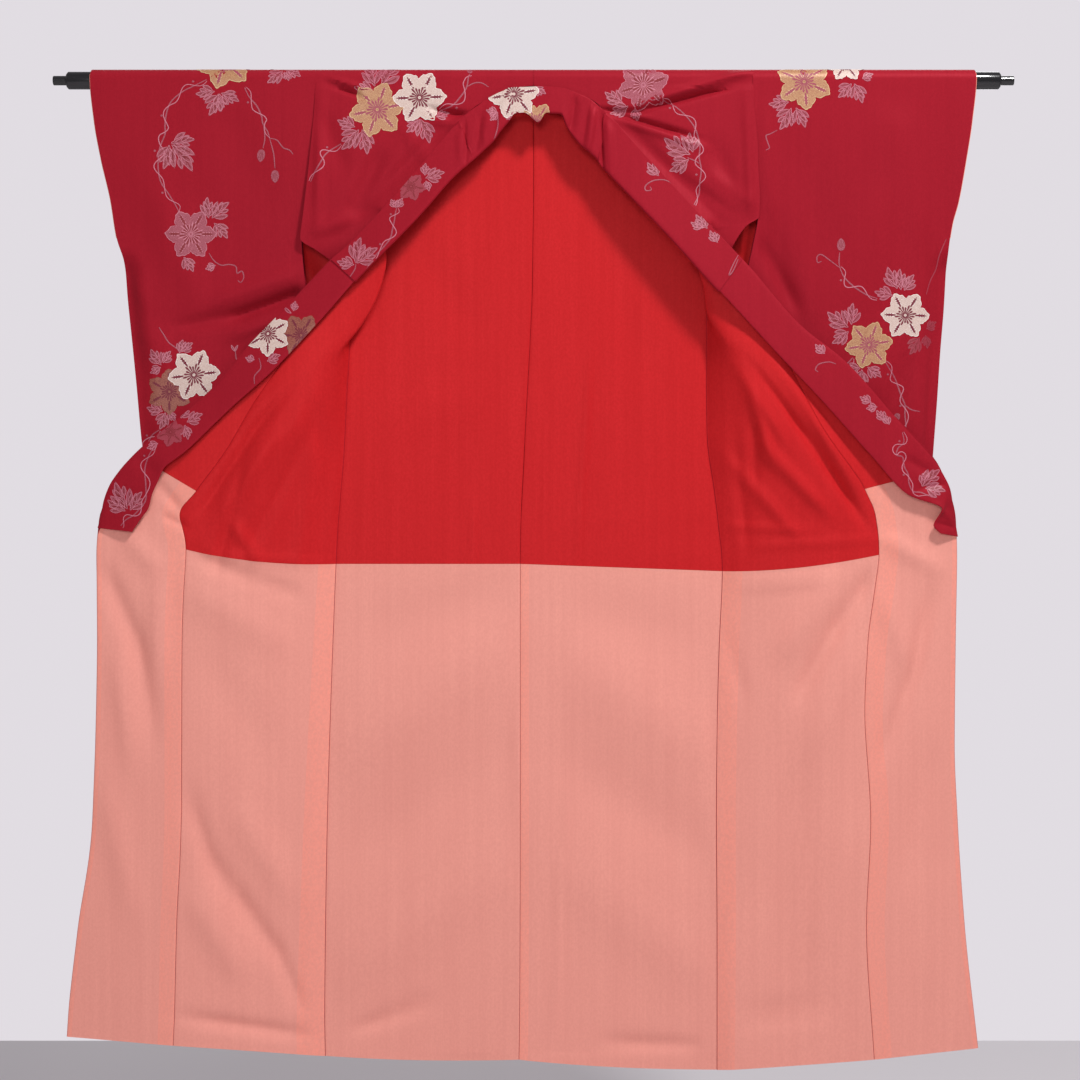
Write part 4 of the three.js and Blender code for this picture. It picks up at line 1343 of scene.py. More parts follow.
@dataclass
class Collar:
    """The wide collar band, folded in half along its free edge, and the over-collar round its middle."""

    step: float = 0.045
    cloths: dict[str, Cloth] = field(default_factory=dict)

    def build(self) -> None:
        """Builds the band and the over-collar."""
        shares = np.concatenate([[0, 0.03, 0.08], np.linspace(0.14, 0.9, 16), [0.95, 0.98, 1]])
        thin = np.clip(np.sqrt(1 - (np.abs(shares - 0.5) / 0.5) ** 8) * 0.75 + 0.25, 0.25, 1)
        rows = fine_rows([0, COLLAR_LAST], self.step)
        band = Cloth.over(collar_surface(rows, shares), self._front(rows, shares))
        face = band.points + band.normals * (COLLAR_HALF * thin)[None, :, None]
        self.cloths["collar"] = Cloth(face, band.normals, band.drop)
        piece = wall("silk_collar", band, COLLAR_HALF, -COLLAR_HALF, profile=thin)
        settle(piece, Finish.CRIMSON, ["collar"])
        cut(piece, 0.055, 2.05, band.area(), "folded")
        self._over()

    def _front(self, rows: np.ndarray, shares: np.ndarray) -> float:
        """Returns the sign that makes the band's normals face the viewer."""
        trial = Cloth.over(collar_surface(rows, shares), 1.0)
        return -float(np.sign(trial.normals[..., 1].mean()))

    def _over(self) -> None:
        """Wraps the over-collar: front face, round the free edge, and back a little way."""
        front = np.linspace(0.03, 0.94, 20)
        turn = np.radians(np.linspace(90, -90, 9))[1:-1]
        back = np.linspace(0.94, 0.42, 12)
        shares = np.concatenate([front, 0.955 + 0.08 * np.cos(turn), back])
        lift = np.concatenate([np.ones(20), np.sin(turn), -np.ones(12)])
        rows = fine_rows(list(OVER_COLLAR_ROWS), self.step)
        middle = Cloth.over(collar_surface(rows, np.linspace(0, 1, 5)), 1.0)
        out = middle.normals[:, 2] * -np.sign(middle.normals[..., 1].mean())
        points = collar_surface(rows, shares) + out[:, None] * (lift * OVER_COLLAR_LIFT)[None, :, None]
        trial = Cloth.over(points, 1.0)
        wrap = Cloth.over(points, -float(np.sign(trial.normals[:, :18, 1].mean())))
        face = wrap.points + OVER_COLLAR_HALF * wrap.normals
        self.cloths["over_collar"] = Cloth(face[:, :22], wrap.normals[:, :22], wrap.drop[:, :22])
        piece = wall("silk_over_collar", wrap, OVER_COLLAR_HALF, -OVER_COLLAR_HALF)
        settle(piece, Finish.CRIMSON, ["over_collar"])
        cut(piece, 0.09, 0.95, wrap.area(), "folded")


# ---- the woven sprays ----

@dataclass(frozen=True)
class Patch:
    """A small piece of drawing: a grid of flat points (x, drop), its thread, and its height off the cloth."""

    flat: np.ndarray
    thread: Finish
    lift: float


def curve(points: list[tuple[float, float]], count: int) -> np.ndarray:
    """Returns evenly spread points of a smooth curve through the given ones, by cubic pieces.

    Args:
        points: Flat points.
        count: How many to return.

    Returns:
        The points, one row each.
    """
    p = np.array(points, float)
    p = np.concatenate([2 * p[:1] - p[1:2], p, 2 * p[-1:] - p[-2:-1]])
    place = np.linspace(0, len(points) - 1, count)
    i = np.clip(np.floor(place).astype(int), 0, len(points) - 2)
    t = (place - i)[:, None]
    a, b, c, d = p[i], p[i + 1], p[i + 2], p[i + 3]
    return 0.5 * (2 * b + (c - a) * t + (2 * a - 5 * b + 4 * c - d) * t**2 + (3 * b - a - 3 * c + d) * t**3)


def ribbon(line: np.ndarray, width: np.ndarray | float, across: int = 3) -> np.ndarray:
    """Returns a band along a line: each point plus its sideways direction times shares of the width.

    Args:
        line: Flat points.
        width: One width, or one for each point.
        across: Points across.

    Returns:
        A grid of flat points.
    """
    step = np.gradient(line, axis=0)
    step /= np.maximum(np.linalg.norm(step, axis=1, keepdims=True), 1e-9)
    sideways = np.stack([-step[:, 1], step[:, 0]], -1)
    reach = np.linspace(-0.5, 0.5, across)[None, :, None] * np.reshape(width, (-1, 1, 1))
    return line[:, None] + sideways[:, None] * reach


def straight(start: tuple[float, float], heading: float, low: float, high: float, count: int) -> np.ndarray:
    """Returns points on a ray from a start, between two distances."""
    way = np.linspace(low, high, count)[:, None]
    return np.array(start) + way * np.array([math.cos(heading), math.sin(heading)])


def stroke(line: np.ndarray, width: np.ndarray | float, thread: Finish, lift: float) -> Patch:
    """Returns a band along a line as a patch."""
    return Patch(ribbon(line, width), thread, lift)


RIMS = {Finish.WHITE: Finish.PALE, Finish.GOLD: Finish.AMBER, Finish.MAUVE: Finish.ROSE}  # paler threads
VEINS = {Finish.MAUVE: Finish.WINE, Finish.FAINT_AND_SHADED: Finish.WINE, Finish.GOLD: Finish.MAUVE}
HEIGHTS = {Finish.WHITE: 0.48, Finish.GOLD: 0.4}  # the flower above lies higher off the cloth


@dataclass(frozen=True)
class Flower:
    """A six-petalled clematis: broad pointed petals, a vein in each, and a star of fine strokes."""

    x: float
    drop: float
    radius: float
    turn: float
    thread: Finish

    def patches(self) -> list[Patch]:
        """Draws petals, outline, veins and star.

        The outline is the radius times 0.66 + 0.25 c^0.65 + 0.09 c^12, with c the size of cos 3(angle - turn).

        Returns:
            The patches.
        """
        turn, r, centre = math.radians(self.turn), self.radius, (self.x, self.drop)
        high = HEIGHTS.get(self.thread, 0.32)
        vein, pale = VEINS.get(self.thread, Finish.DARK), RIMS.get(self.thread, self.thread)
        angle = np.linspace(0, 2 * math.pi, 121)
        c = np.abs(np.cos(3 * (angle - turn)))
        uneven = 1 + 0.018 * np.sin(23 * angle) + 0.012 * np.sin(37 * angle)
        edge = r * (0.66 + 0.25 * c**0.65 + 0.09 * c**12) * uneven
        ray = np.stack([np.cos(angle), np.sin(angle)], -1)
        shares = np.linspace(0.01, 1, 6)[:, None, None]
        patches = [Patch(np.array(centre) + shares * (edge[:, None] * ray)[None], self.thread, high)]
        rim = np.array([0.975, 0.99, 1.008])[:, None, None]
        patches.append(Patch(np.array(centre) + rim * (edge[:, None] * ray)[None], pale, high + 0.02))
        for k in range(6):
            heading = turn + k * math.pi / 3
            line = straight(centre, heading, 0.4 * r, 0.88 * r, 9)
            width = 0.085 * r * np.sin(np.linspace(0.5, 3.1, 9)) + 0.15
            patches.append(stroke(line, width, vein, high + 0.05))
            for side in (-1, 1):
                beside = line + side * 0.055 * r * np.array([-math.sin(heading), math.cos(heading)])
                patches.append(stroke(beside[1:8], 0.03 * r, pale, high + 0.04))
                for way in (0.5, 0.6, 0.7):
                    stem = straight(centre, heading, way * r, way * r, 1)[0]
                    barb = straight(tuple(stem), heading + side * 0.6, 0.0, 0.11 * r, 3)
                    patches.append(stroke(barb, 0.028 * r, vein, high + 0.06))
        for k in range(18):
            heading = turn + (k + 0.5) * math.pi / 9
            reach = r * (0.44, 0.33, 0.38)[k % 3]
            line = straight(centre, heading, 0.06 * r, reach, 6)
            width = r * np.array([0.03, 0.036, 0.042, 0.056, 0.08, 0.04])
            patches.append(stroke(line, width, vein, high + 0.05))
            if self.thread is Finish.MAUVE:
                line = straight(centre, heading + math.pi / 18, 0.05 * r, 1.15 * reach, 6)
                patches.append(stroke(line, 0.6 * width, pale, high + 0.08))
        return patches


# Lobes of a leaflet: where each starts, as a share of the leaflet, its turn, its length and its width.
MAIN_LOBE = (0.0, 0.0, 1.0, 0.26)
SIDE_LOBES = [
    (0.12, 0.56, 0.66, 0.19), (0.1, -0.6, 0.62, 0.19), (0.42, 0.46, 0.44, 0.15), (0.4, -0.48, 0.42, 0.15),
]


@dataclass(frozen=True)
class Leaf:
    """One lobed leaflet from its base to its tip, with midribs and side veins."""

    x: float
    drop: float
    tip_x: float
    tip_drop: float
    thread: Finish = Finish.MAUVE

    def patches(self) -> list[Patch]:
        """Draws a pointed lobe and, on a long leaflet, four lobes beside it, each with its veins.

        A lobe is as wide as half a sine wave, with a saw edge, and it bends by half a sine wave.

        Returns:
            The patches.
        """
        outline = RIMS.get(self.thread, self.thread)
        base, tip = np.array([self.x, self.drop], float), np.array([self.tip_x, self.tip_drop], float)
        length = float(np.linalg.norm(tip - base))
        heading = math.atan2(tip[1] - base[1], tip[0] - base[0])
        patches = []
        for lobe in [MAIN_LOBE] + (SIDE_LOBES if length > 15 else []):
            start, turn, reach, girth = lobe
            main = lobe is MAIN_LOBE
            foot, aim = tuple(base + start * (tip - base)), heading + turn
            s = np.linspace(0, 1, 25 if main else 13)
            line = straight(foot, aim, 0.0, reach * length, len(s))
            bend = 0.06 * reach * length * np.sin(math.pi * s) * math.copysign(1, turn)
            line += bend[:, None] * np.array([-math.sin(aim), math.cos(aim)])
            width = girth * length * np.sin(math.pi * s**1.1) * (1 + 0.12 * ((s * 3.4) % 1.0 - 0.5))
            blade = ribbon(line, width)
            patches.append(Patch(blade, self.thread, 0.22 + 0.02 * start))
            for rim in (0, 2):
                patches.append(stroke(blade[1::2, rim], 0.8, outline, 0.29))
            if length > 12:
                patches.append(stroke(line[1:-2:2], 0.036 * length, Finish.WINE, 0.28))
                for way in (7, 11, 15) if main else ():
                    for side in (-1, 1):
                        vein = straight(tuple(line[way]), aim + side * 0.6, 0.0, 0.6 * width[way], 3)
                        patches.append(stroke(vein, 0.022 * length, Finish.WINE, 0.28))
        return patches


@dataclass(frozen=True)
class Vine:
    """A thin winding stem; a twisted one has a second strand that swings from side to side of it."""

    points: list[tuple[float, float]]
    twist: bool = False
    thread: Finish = Finish.MAUVE

    def patches(self) -> list[Patch]:
        """Draws the stem, its second strand and small knots.

        The strand swings by a sine of its way over 44 mm, whose size itself swings a little.

        Returns:
            The patches.
        """
        line = curve(self.points, 8 * len(self.points))
        length = float(np.linalg.norm(np.diff(line, axis=0), axis=1).sum())
        line = curve(self.points, max(int(length / 1.9), 8))
        ease = np.sin(np.linspace(0.25, math.pi - 0.25, len(line))) ** 0.4
        patches = [stroke(line, (2.2 if self.twist else 1.8) * ease, self.thread, 0.24)]
        if self.twist:
            way = np.linspace(0, length, len(line))
            swing = (6.4 + 1.8 * np.sin(way / 17)) * np.sin(way * 2 * math.pi / 44 + 0.6) * ease
            strand = ribbon(line, 2 * swing)[:, 2]
            patches.append(stroke(strand, 1.4 * ease, RIMS.get(self.thread, self.thread), 0.25))
            for spot in range(9, len(line) - 6, 31):
                knot = tuple(ribbon(line, 13.0)[spot, 0])
                patches.append(Patch(oval(knot, 0.0, 3.6, 3.2), self.thread, 0.24))
        return patches


def oval(centre: tuple[float, float], heading: float, length: float, width: float) -> np.ndarray:
    """Returns a grid that fills an oval: bands across it, as wide as half a sine wave to the power 0.6.

    Args:
        centre: Its middle.
        heading: Its direction, in radians.
        length: Its length.
        width: Its greatest width.

    Returns:
        A grid of flat points.
    """
    s = np.linspace(0, 1, 13)
    line = straight(centre, heading, -length / 2, length / 2, 13)
    return ribbon(line, width * np.sin(math.pi * np.clip(s, 0.01, 0.99)) ** 0.6, 5)


@dataclass(frozen=True)
class Bud:
    """An oval bud with three veins and two sepals at its foot."""

    x: float
    drop: float
    heading: float
    size: float
    thread: Finish = Finish.MAUVE

    def patches(self) -> list[Patch]:
        """Draws the bud, its veins and sepals.

        Returns:
            The patches.
        """
        heading, centre, size = math.radians(self.heading), (self.x, self.drop), self.size
        patches = [Patch(oval(centre, heading, 1.5 * size, 0.95 * size), self.thread, 0.24)]
        foot = tuple(straight(centre, heading, -0.75 * size, 0, 2)[0])
        for side in (-1, 0, 1):
            vein = straight(foot, heading + side * 0.28, 0.35 * size, 1.25 * size, 6)
            patches.append(stroke(vein, 0.06 * size, Finish.WINE, 0.28))
        for side in (-1, 1):
            knee = tuple(straight(foot, heading + side * 1.1, 0, 0.35 * size, 2)[1])
            end = tuple(straight(foot, heading + side * 0.6, 0, 0.85 * size, 2)[1])
            patches.append(stroke(curve([foot, knee, end], 9), 0.1 * size, self.thread, 0.3))
        return patches


Motif = Flower | Leaf | Vine | Bud


class Canvas:
    """A cloth's outer face, onto which flat drawings are carried."""

    REACH = 14.0  # grid points are looked for this far round a drawing, in millimetres
    MISS = 0.4  # a point further than this from the cloth lies off its edge

    def __init__(self, cloth: Cloth, height: float) -> None:
        """Takes the cloth's grid; a ring is cut open along its lowest line.

        Args:
            cloth: The cloth.
            height: Its face's offset from the grid, in millimetres.
        """
        points, normals, drop = cloth.points, cloth.normals, cloth.drop
        if cloth.ring:
            cut = int(np.argmin(points[5, :, 2])) + 1
            points, normals, drop = (np.roll(grid, -cut, 1) for grid in (points, normals, drop))
        self.points = points + height * normals
        self.normals = normals
        self.flat = stack(points[..., 0], drop)
        self.listed = self.flat.reshape(-1, 2)

    def _read(
        self, grid: np.ndarray, i: np.ndarray, j: np.ndarray
    ) -> tuple[np.ndarray, np.ndarray, np.ndarray]:
        """Returns a grid's value between its points, and its steps along and across there.

        Args:
            grid: The grid.
            i: Places along, in rows.
            j: Places across, in columns.

        Returns:
            The value and the two steps, one row for each place.
        """
        rows, columns = grid.shape[:2]
        a = np.clip(np.floor(i).astype(int), 0, rows - 2)
        b = np.clip(np.floor(j).astype(int), 0, columns - 2)
        u, v = (i - a)[:, None], (j - b)[:, None]
        p, q, r, s = grid[a, b], grid[a, b + 1], grid[a + 1, b], grid[a + 1, b + 1]
        value = (1 - u) * ((1 - v) * p + v * q) + u * ((1 - v) * r + v * s)
        return value, (1 - v) * (r - p) + v * (s - q), (1 - u) * (q - p) + u * (s - r)

    def place(self, spots: np.ndarray) -> tuple[np.ndarray, np.ndarray, np.ndarray] | None:
        """Finds flat points on the cloth: the nearest grid point, then Newton steps on the bilinear grid.

        Args:
            spots: Flat points, one row each.

        Returns:
            Places, normals, and whether each lies on the cloth; None if the cloth is nowhere near.
        """
        low, high = spots.min(0) - self.REACH, spots.max(0) + self.REACH
        near = np.flatnonzero(((self.listed >= low) & (self.listed <= high)).all(1))
        if not len(near):
            return None
        gap = ((spots[:, None] - self.listed[near][None]) ** 2).sum(2)
        i, j = (part.astype(float) for part in np.divmod(near[gap.argmin(1)], self.flat.shape[1]))
        rows, columns = self.flat.shape[:2]
        for _ in range(5):
            value, along, across = self._read(self.flat, i, j)
            miss = spots - value
            scale = along[:, 0] * across[:, 1] - along[:, 1] * across[:, 0]
            scale = np.where(np.abs(scale) < 1e-6, 1e-6, scale)
            i = np.clip(i + (miss[:, 0] * across[:, 1] - miss[:, 1] * across[:, 0]) / scale, 0, rows - 1)
            j = np.clip(j + (along[:, 0] * miss[:, 1] - along[:, 1] * miss[:, 0]) / scale, 0, columns - 1)
        miss = spots - self._read(self.flat, i, j)[0]
        inside = np.linalg.norm(miss, axis=1) < self.MISS
        return self._read(self.points, i, j)[0], self._read(self.normals, i, j)[0], inside


class Weaver:
    """Gathers drawings on all cloths, thread by thread, and builds one mesh of each thread."""

    def __init__(self) -> None:
        """Starts with no drawings."""
        self.parts: dict[Finish, list[tuple[np.ndarray, np.ndarray]]] = {}

    def draw(self, canvas: Canvas, motifs: list[Motif]) -> None:
        """Carries motifs onto a cloth; what lies off its edges is cut away.

        Args:
            canvas: The cloth's face.
            motifs: The drawings.
        """
        for motif in motifs:
            for patch in motif.patches():
                self._carry(canvas, patch)

    def _carry(self, canvas: Canvas, patch: Patch) -> None:
        """Carries one patch, lifted off the cloth's face along its normals.

        Args:
            canvas: The cloth's face.
            patch: The patch.
        """
        found = canvas.place(patch.flat.reshape(-1, 2))
        if found is None:
            return
        points, normals, inside = found
        quads = grid_quads(*patch.flat.shape[:2])
        quads = quads[inside[quads].any(1)]
        if len(quads):
            self.parts.setdefault(patch.thread, []).append((points + patch.lift * normals, quads))

    def build(self) -> None:
        """Builds the meshes."""
        for thread, parts in self.parts.items():
            starts = np.cumsum([0] + [len(points) for points, _ in parts[:-1]])
            points = np.concatenate([points for points, _ in parts])
            quads = np.concatenate([quads + start for (_, quads), start in zip(parts, starts)])
            used, packed = np.unique(quads, return_inverse=True)
            piece = new_object(f"woven_{thread.name.lower()}", points[used], packed.reshape(-1, 4))
            settle(piece, thread, [])


GOLD, WHITE, BROWN, MAUVE, FAINT_AND_SHADED = Finish.GOLD, Finish.WHITE, Finish.BROWN, Finish.MAUVE, Finish.FAINT_AND_SHADED
SPRAYS: dict[str, list[Motif]] = {
    "sleeve_left": [
        Flower(-461, 28, 44, -106, GOLD), Flower(-392, 46, 24, -90, WHITE), Leaf(-475, -19, -505, -23),
        Leaf(-470, -22, -485, -56), Leaf(-469, -22, -467, -50), Leaf(-467, -22, -439, -35),
        Leaf(-374, 13, -398, -7), Leaf(-371, 15, -347, 2), Leaf(-373, 11, -365, -4),
        Vine([(-488, -2), (-506, -11), (-524, -20), (-541, -35), (-548, -53), (-550, -71), (-550, -83),
              (-557, -101), (-560, -119), (-560, -137), (-556, -155), (-545, -172), (-535, -188),
              (-529, -200)], twist=True), Leaf(-542, -97, -505, -91), Leaf(-544, -98, -553, -136),
        Leaf(-541, -98, -509, -139), Flower(-512, -232, 38, 0, MAUVE), Leaf(-485, -209, -487, -176),
        Leaf(-481, -209, -454, -184), Leaf(-478, -215, -457, -239), Leaf(-523, -266, -508, -289),
        Leaf(-475, -278, -491, -284),
        Vine([(-485, -260), (-478, -271), (-467, -278), (-455, -277), (-445, -280), (-443, -290),
              (-436, -287), (-433, -296), (-437, -304), (-442, -301)]),
        Vine([(-431, -14), (-424, -28), (-413, -41), (-406, -56), (-404, -67), (-397, -79),
              (-394, -89)], twist=True), Vine([(-403, -68), (-401, -89), (-404, -104)]),
        Bud(-407, -115, -100, 12), Vine([(-394, -89), (-388, -112), (-386, -134)]),
        Bud(-386, -146, -90, 12),
        Vine([(-394, -89), (-383, -92), (-374, -103), (-364, -107), (-359, -113)]),
        Vine([(-560, -371), (-553, -382), (-545, -394), (-533, -403), (-529, -410)]),
        Leaf(-529, -410, -524, -389), Leaf(-527, -407, -509, -394), Flower(-545, -467, 34, 30, BROWN),
        Flower(-508, -442, 39, 7, WHITE), Leaf(-556, -428, -572, -403), Leaf(-557, -430, -574, -439),
        Leaf(-554, -425, -542, -406), Leaf(-554, -496, -580, -490), Leaf(-551, -497, -560, -524),
        Leaf(-547, -497, -536, -512),
        Vine([(-560, -524), (-572, -533), (-580, -550), (-586, -562)], twist=True),
        Leaf(-446, -407, -452, -397), Leaf(-446, -407, -442, -397),
        Vine([(-446, -407), (-445, -416), (-442, -425)]),
    ],
    "body_left": [
        Leaf(-236, -13, -247, 26), Leaf(-227, -11, -202, 26), Leaf(-239, -17, -268, -13),
        Leaf(-265, -73, -293, -62), Leaf(-260, -76, -287, -107), Leaf(-256, -76, -248, -115),
        Leaf(-169, -61, -190, -82), Leaf(-169, -61, -155, -98), Leaf(-146, -59, -125, -50),
        Flower(-233, -47, 42, 12, GOLD), Flower(-170, -29, 40, 2, WHITE),
        Vine([(-287, -98), (-302, -107), (-311, -115), (-316, -124), (-325, -140),
              (-332, -155)], twist=True),
        Vine([(-140, -47), (-122, -41), (-110, -29), (-100, -14), (-97, 1), (-95, 5)], twist=True),
        Bud(-95, 13, 90, 8), Vine([(-100, -13), (-88, -7), (-77, -7), (-67, -13)]),
    ],
    "over_collar": [
        Flower(-29, -25, 38, 10, WHITE), Flower(5, -67, 30, 60, GOLD), Leaf(-1, -16, 19, -25),
        Leaf(-53, -52, -71, -49), Leaf(-53, -52, -65, -65), Leaf(-40, -64, -29, -50),
        Vine([(-53, -52), (-53, -74), (-59, -95)]), Leaf(187, -148, 169, -127),
        Vine([(208, -160), (196, -154), (182, -154), (172, -158), (166, -164), (167, -170), (175, -169),
              (173, -164)]), Leaf(253, -226, 233, -217), Leaf(259, -227, 241, -205),
        Leaf(274, -248, 262, -229), Leaf(271, -245, 278, -233),
        Vine([(304, -266), (296, -281), (290, -296), (296, -290), (304, -272)]),
        Flower(-182, -164, 22, -70, FAINT_AND_SHADED), Leaf(-161, -152, -131, -143), Leaf(-160, -155, -155, -172),
        Leaf(-161, -148, -160, -128), Leaf(-203, -196, -212, -182), Leaf(-202, -196, -194, -181),
        Vine([(-203, -196), (-205, -205), (-206, -214), (-209, -229), (-212, -242), (-221, -254),
              (-235, -269), (-248, -289)], twist=True), Leaf(-265, -281, -292, -275),
        Leaf(-263, -280, -256, -239), Leaf(-262, -280, -230, -256),
        Vine([(-263, -280), (-265, -289), (-275, -304)]),
    ],
    "collar": [
        Flower(-344, -386, 33, 0, BROWN), Flower(-394, -383, 34, 30, WHITE), Leaf(-413, -422, -428, -418),
        Leaf(-395, -425, -374, -415), Vine([(-407, -419), (-404, -434), (-413, -446), (-413, -458)]),
        Leaf(-359, -353, -370, -343), Leaf(-356, -350, -353, -334), Flower(-539, -529, 22, 20, FAINT_AND_SHADED),
        Leaf(-515, -515, -490, -502), Leaf(-518, -518, -512, -541), Leaf(-557, -545, -575, -553),
        Leaf(-524, -509, -511, -490),
        Vine([(-563, -550), (-572, -566), (-577, -584), (-575, -607), (-575, -629), (-583, -641),
              (-593, -652), (-605, -659), (-613, -668)], twist=True), Leaf(-602, -644, -622, -602),
        Leaf(-605, -646, -634, -629), Leaf(-599, -646, -580, -617),
        Vine([(449, -428), (439, -425), (424, -428), (418, -436), (422, -440)]), Leaf(433, -413, 418, -398),
        Leaf(502, -485, 484, -476), Leaf(511, -491, 493, -494), Leaf(523, -512, 509, -496),
        Leaf(529, -518, 520, -503),
        Vine([(548, -529), (550, -544), (541, -553), (539, -563), (548, -566), (550, -580), (556, -592),
              (557, -605), (563, -617), (575, -619), (592, -626)], twist=True), Leaf(577, -610, 584, -587),
        Leaf(578, -610, 605, -584), Leaf(581, -613, 613, -617),
    ],
    "body_right": [
        Leaf(134, -37, 106, -20), Leaf(142, -41, 113, -53), Leaf(151, -43, 155, -64),
        Flower(164, -10, 39, 17, MAUVE),
        Vine([(194, -32), (208, -40), (224, -53), (238, -70), (245, -86), (248, -104), (247, -119),
              (250, -137), (248, -155), (247, -173), (239, -190)], twist=True), Leaf(235, -115, 194, -89),
        Leaf(238, -112, 233, -80), Leaf(232, -121, 202, -139),
        Vine([(229, -119), (241, -124), (247, -128)]),
    ],
    "sleeve_right": [
        Flower(404, -5, 42, -84, GOLD), Flower(467, 25, 30, -60, WHITE), Leaf(475, -7, 454, -29),
        Leaf(478, -7, 491, -38), Leaf(490, -1, 508, 7), Leaf(382, -35, 350, -38), Leaf(385, -43, 367, -77),
        Leaf(391, -43, 406, -74),
        Vine([(364, -77), (353, -83), (347, -86), (350, -97), (352, -104), (347, -107)]),
        Bud(460, -247, 90, 12), Vine([(458, -259), (457, -272), (458, -281)]),
        Vine([(457, -281), (448, -274), (440, -268), (433, -263), (428, -262), (424, -266), (425, -274),
              (431, -272)]),
        Vine([(458, -281), (464, -295), (473, -305), (484, -314), (499, -323), (514, -328)], twist=True),
        Leaf(545, -314, 529, -280), Leaf(550, -316, 548, -283), Leaf(554, -317, 569, -292),
        Leaf(538, -323, 509, -317), Flower(502, -397, 36, 10, GOLD), Flower(556, -353, 36, -2, WHITE),
        Leaf(472, -371, 439, -347), Leaf(476, -368, 478, -334), Leaf(472, -376, 446, -395),
        Vine([(478, -416), (469, -425), (455, -430)], twist=True), Leaf(490, -431, 463, -436),
        Leaf(491, -433, 490, -463), Leaf(499, -430, 521, -446),
        Vine([(526, -422), (535, -436), (542, -448), (547, -461), (551, -473), (556, -487), (556, -502),
              (557, -521), (551, -539)], twist=True), Vine([(556, -487), (565, -494), (578, -497)]),
        # painted shade: the three leaves from (577, -385) and the vine from (617, -239) take the darker faint
        # thread because that edge of the sleeve lies in shade
        Bud(544, -506, -110, 9), Leaf(577, -385, 562, -412, FAINT_AND_SHADED), Leaf(586, -382, 589, -403, FAINT_AND_SHADED),
        Leaf(587, -374, 604, -362, FAINT_AND_SHADED),
        Vine([(617, -239), (607, -263), (602, -284), (593, -302), (587, -322)], thread=FAINT_AND_SHADED),
    ],
}


def spray(x: float, drop: float, turn: float, pair: bool) -> list[Motif]:
    """Returns a spray for the stretches that hang out of sight: one or two flowers, leaves, a vine and buds.

    Args:
        x: Place of the first flower across, in millimetres.
        drop: Its way along the cloth.
        turn: Direction of the vine, in degrees.
        pair: Whether there is a gold flower with a white one beside it, or a mauve one alone.

    Returns:
        The motifs, each turned with the vine.
    """
    c, s = math.cos(math.radians(turn)), math.sin(math.radians(turn))

    def at(u: float, v: float) -> tuple[float, float]:
        """Turns a place in the spray onto the cloth."""
        return x + u * c - v * s, drop + u * s + v * c

    leaves = [((-24, 16), (-58, 30)), ((-20, 26), (-30, 62)), ((-26, 6), (-62, -8)),
              ((92, -30), (120, -54)), ((94, -26), (130, -20)), ((88, -34), (90, -66))]
    motifs: list[Motif] = [Leaf(*at(*a), *at(*b)) for a, b in leaves]
    stem = ((28, -12), (48, -30), (76, -34), (104, -22), (132, -24), (158, -44), (176, -70), (182, -100))
    motifs.append(Vine([at(u, v) for u, v in stem], twist=True))
    motifs += [Vine([at(132, -24), at(150, -8), at(166, -2)]), Bud(*at(176, 2), turn + 20, 11)]
    motifs += [Vine([at(182, -100), at(176, -122), at(186, -136), at(198, -130), at(194, -122)])]
    if pair:
        motifs += [Flower(*at(0, 0), 40, turn + 12, GOLD), Flower(*at(14, 66), 36, turn + 40, WHITE)]
    else:
        motifs += [Flower(*at(0, 0), 37, turn + 20, MAUVE)]
    return motifs


def hidden_sprays() -> dict[str, list[Motif]]:
    """Returns sprays for the backs of body and sleeves, in places like those in front.

    Returns:
        Motifs by the cloth's name.
    """
    return {
        "body_left": spray(-200, 130, 60, True) + spray(-90, 420, 80, False) + spray(-230, 760, -70, True)
        + spray(-110, 1130, 100, False) + spray(-420, -900, -80, True),
        "body_right": spray(110, 210, 70, False) + spray(210, 560, 110, True) + spray(90, 930, 70, False)
        + spray(190, 1270, 120, True) + spray(400, -1260, -60, False),
        "overlap_left": spray(-600, -1180, 80, False),
        "overlap_right": spray(570, -860, 100, True),
        "sleeve_left": spray(-470, 150, 95, False) + spray(-520, 470, 70, True),
        "sleeve_right": spray(430, 190, 85, True) + spray(520, 500, 110, False),
    }


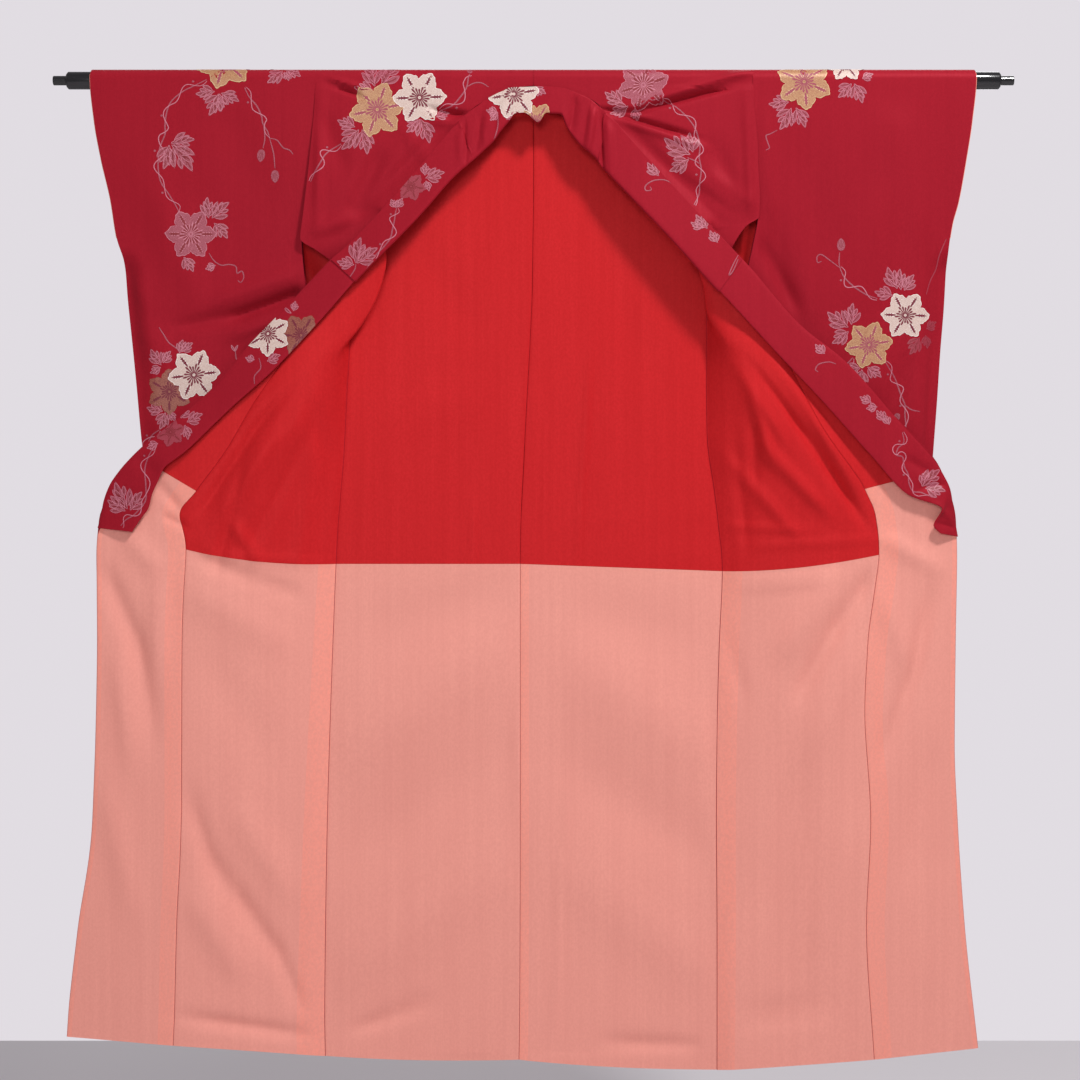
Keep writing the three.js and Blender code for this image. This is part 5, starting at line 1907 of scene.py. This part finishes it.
@dataclass
class Studio:
    """The pale floor, the soft lights and the camera; places are in metres."""

    floor_level: float = -1.75
    aim: tuple[float, float, float] = (0.0, 0.0, -0.75)
    camera_place: tuple[float, float, float] = (0.00975, -3.15, -0.689)
    lens: float = 70.0
    sensor: float = 36.0

    def build(self) -> None:
        """Builds floor, world, lights and camera."""
        self._film()
        self._floor()
        self._world()
        self._light("key_light", (1.35, -1.9, 2.2), 0.45, 94.0)
        self._light("front_light", (-0.5, -4.4, 0.1), 1.3, 48.0)
        self._light("back_light", (0.3, 3.2, 1.2), 3.0, 60.0)
        self._camera()

    def _floor(self) -> None:
        """Builds a plain pale floor below the hem."""
        x, y = np.meshgrid(np.linspace(-9, 9, 9), np.linspace(-9, 1.3, 9), indexing="ij")
        points = stack(x, y, self.floor_level).reshape(-1, 3) / MM
        floor = new_object("floor", points, grid_quads(9, 9))
        nodes = Nodes("pale_floor")
        nodes.set(Base_Color=linear(214, 210, 214), Roughness=0.8)
        floor.data.materials.append(nodes.material)
        floor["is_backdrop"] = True

    def _world(self) -> None:
        """Fills the room with even pale light."""
        world = bpy.data.worlds.new("pale_room")
        world.use_nodes = True
        tree = world.node_tree
        background = tree.nodes["Background"]
        background.inputs["Color"].default_value = linear(236, 231, 237)
        seen, strength = tree.nodes.new("ShaderNodeLightPath"), tree.nodes.new("ShaderNodeMapRange")
        strength.inputs["To Min"].default_value = 0.3  # as light
        strength.inputs["To Max"].default_value = 0.9  # as the backdrop
        tree.links.new(seen.outputs["Is Camera Ray"], strength.inputs["Value"])
        tree.links.new(strength.outputs[0], background.inputs["Strength"])
        bpy.context.scene.world = world

    def _light(self, name: str, place: tuple[float, float, float], size: float, power: float) -> None:
        """Adds a square soft light that faces the middle of the garment.

        Args:
            name: The light's name.
            place: Its place.
            size: Its side, in metres.
            power: In watts.
        """
        lamp = bpy.data.lights.new(name, "AREA")
        lamp.size = size
        lamp.energy = power
        holder = bpy.data.objects.new(name, lamp)
        holder.location = place
        aim = np.array(self.aim) - np.array(place)
        across = math.hypot(aim[0], aim[1])
        holder.rotation_euler = (math.atan2(across, -aim[2]), 0, math.atan2(aim[1], aim[0]) - math.pi / 2)
        bpy.context.scene.collection.objects.link(holder)

    def _film(self) -> None:
        """Shows colours as they are, without a film curve."""
        bpy.context.scene.view_settings.view_transform = "Standard"

    def _camera(self) -> None:
        """Sets the camera level and square on, centred a little right of the rod's middle."""
        lens = bpy.data.cameras.new("camera")
        lens.lens = self.lens
        lens.sensor_width = self.sensor
        holder = bpy.data.objects.new("camera", lens)
        holder.location = self.camera_place
        holder.rotation_euler = (math.pi / 2, 0, 0)
        bpy.context.scene.collection.objects.link(holder)
        bpy.context.scene.camera = holder


LEFT = Side("left", -1.0, LEFT_BACK, LEFT_FRONT, LEFT_CUFF, LEFT_ARMHOLE,
            LEFT_FRONT_FOLDS, LEFT_SHOULDER_FOLDS, LEFT_SLEEVE_FOLDS)
RIGHT = Side("right", 1.0, RIGHT_BACK, RIGHT_FRONT, RIGHT_CUFF, RIGHT_ARMHOLE,
             RIGHT_FRONT_FOLDS, RIGHT_SHOULDER_FOLDS, RIGHT_SLEEVE_FOLDS)


def main() -> None:
    """Builds the rod, both sides, the collar and the studio."""
    logging.basicConfig(level=logging.INFO, format="%(name)s: %(message)s")
    Studio().build()
    Rod().build()
    sides = [Panels(LEFT), Panels(RIGHT)]
    for side in sides:
        side.build()
    collar = Collar()
    collar.build()
    weaver = Weaver()
    canvases = {name: Canvas(cloth, 0.0) for name, cloth in collar.cloths.items()}
    for side in sides:
        for part, cloth in side.cloths.items():
            canvases[f"{part}_{side.side.name}"] = Canvas(cloth, CLOTH_HALF)
    for sprays in (SPRAYS, hidden_sprays()):
        for name, motifs in sprays.items():
            weaver.draw(canvases[name], motifs)
    weaver.build()
    boxes = [[list(map(float, corner)) for corner in box] for box in (CAD_BOX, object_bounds())]


if __name__ == "__main__":
    main()
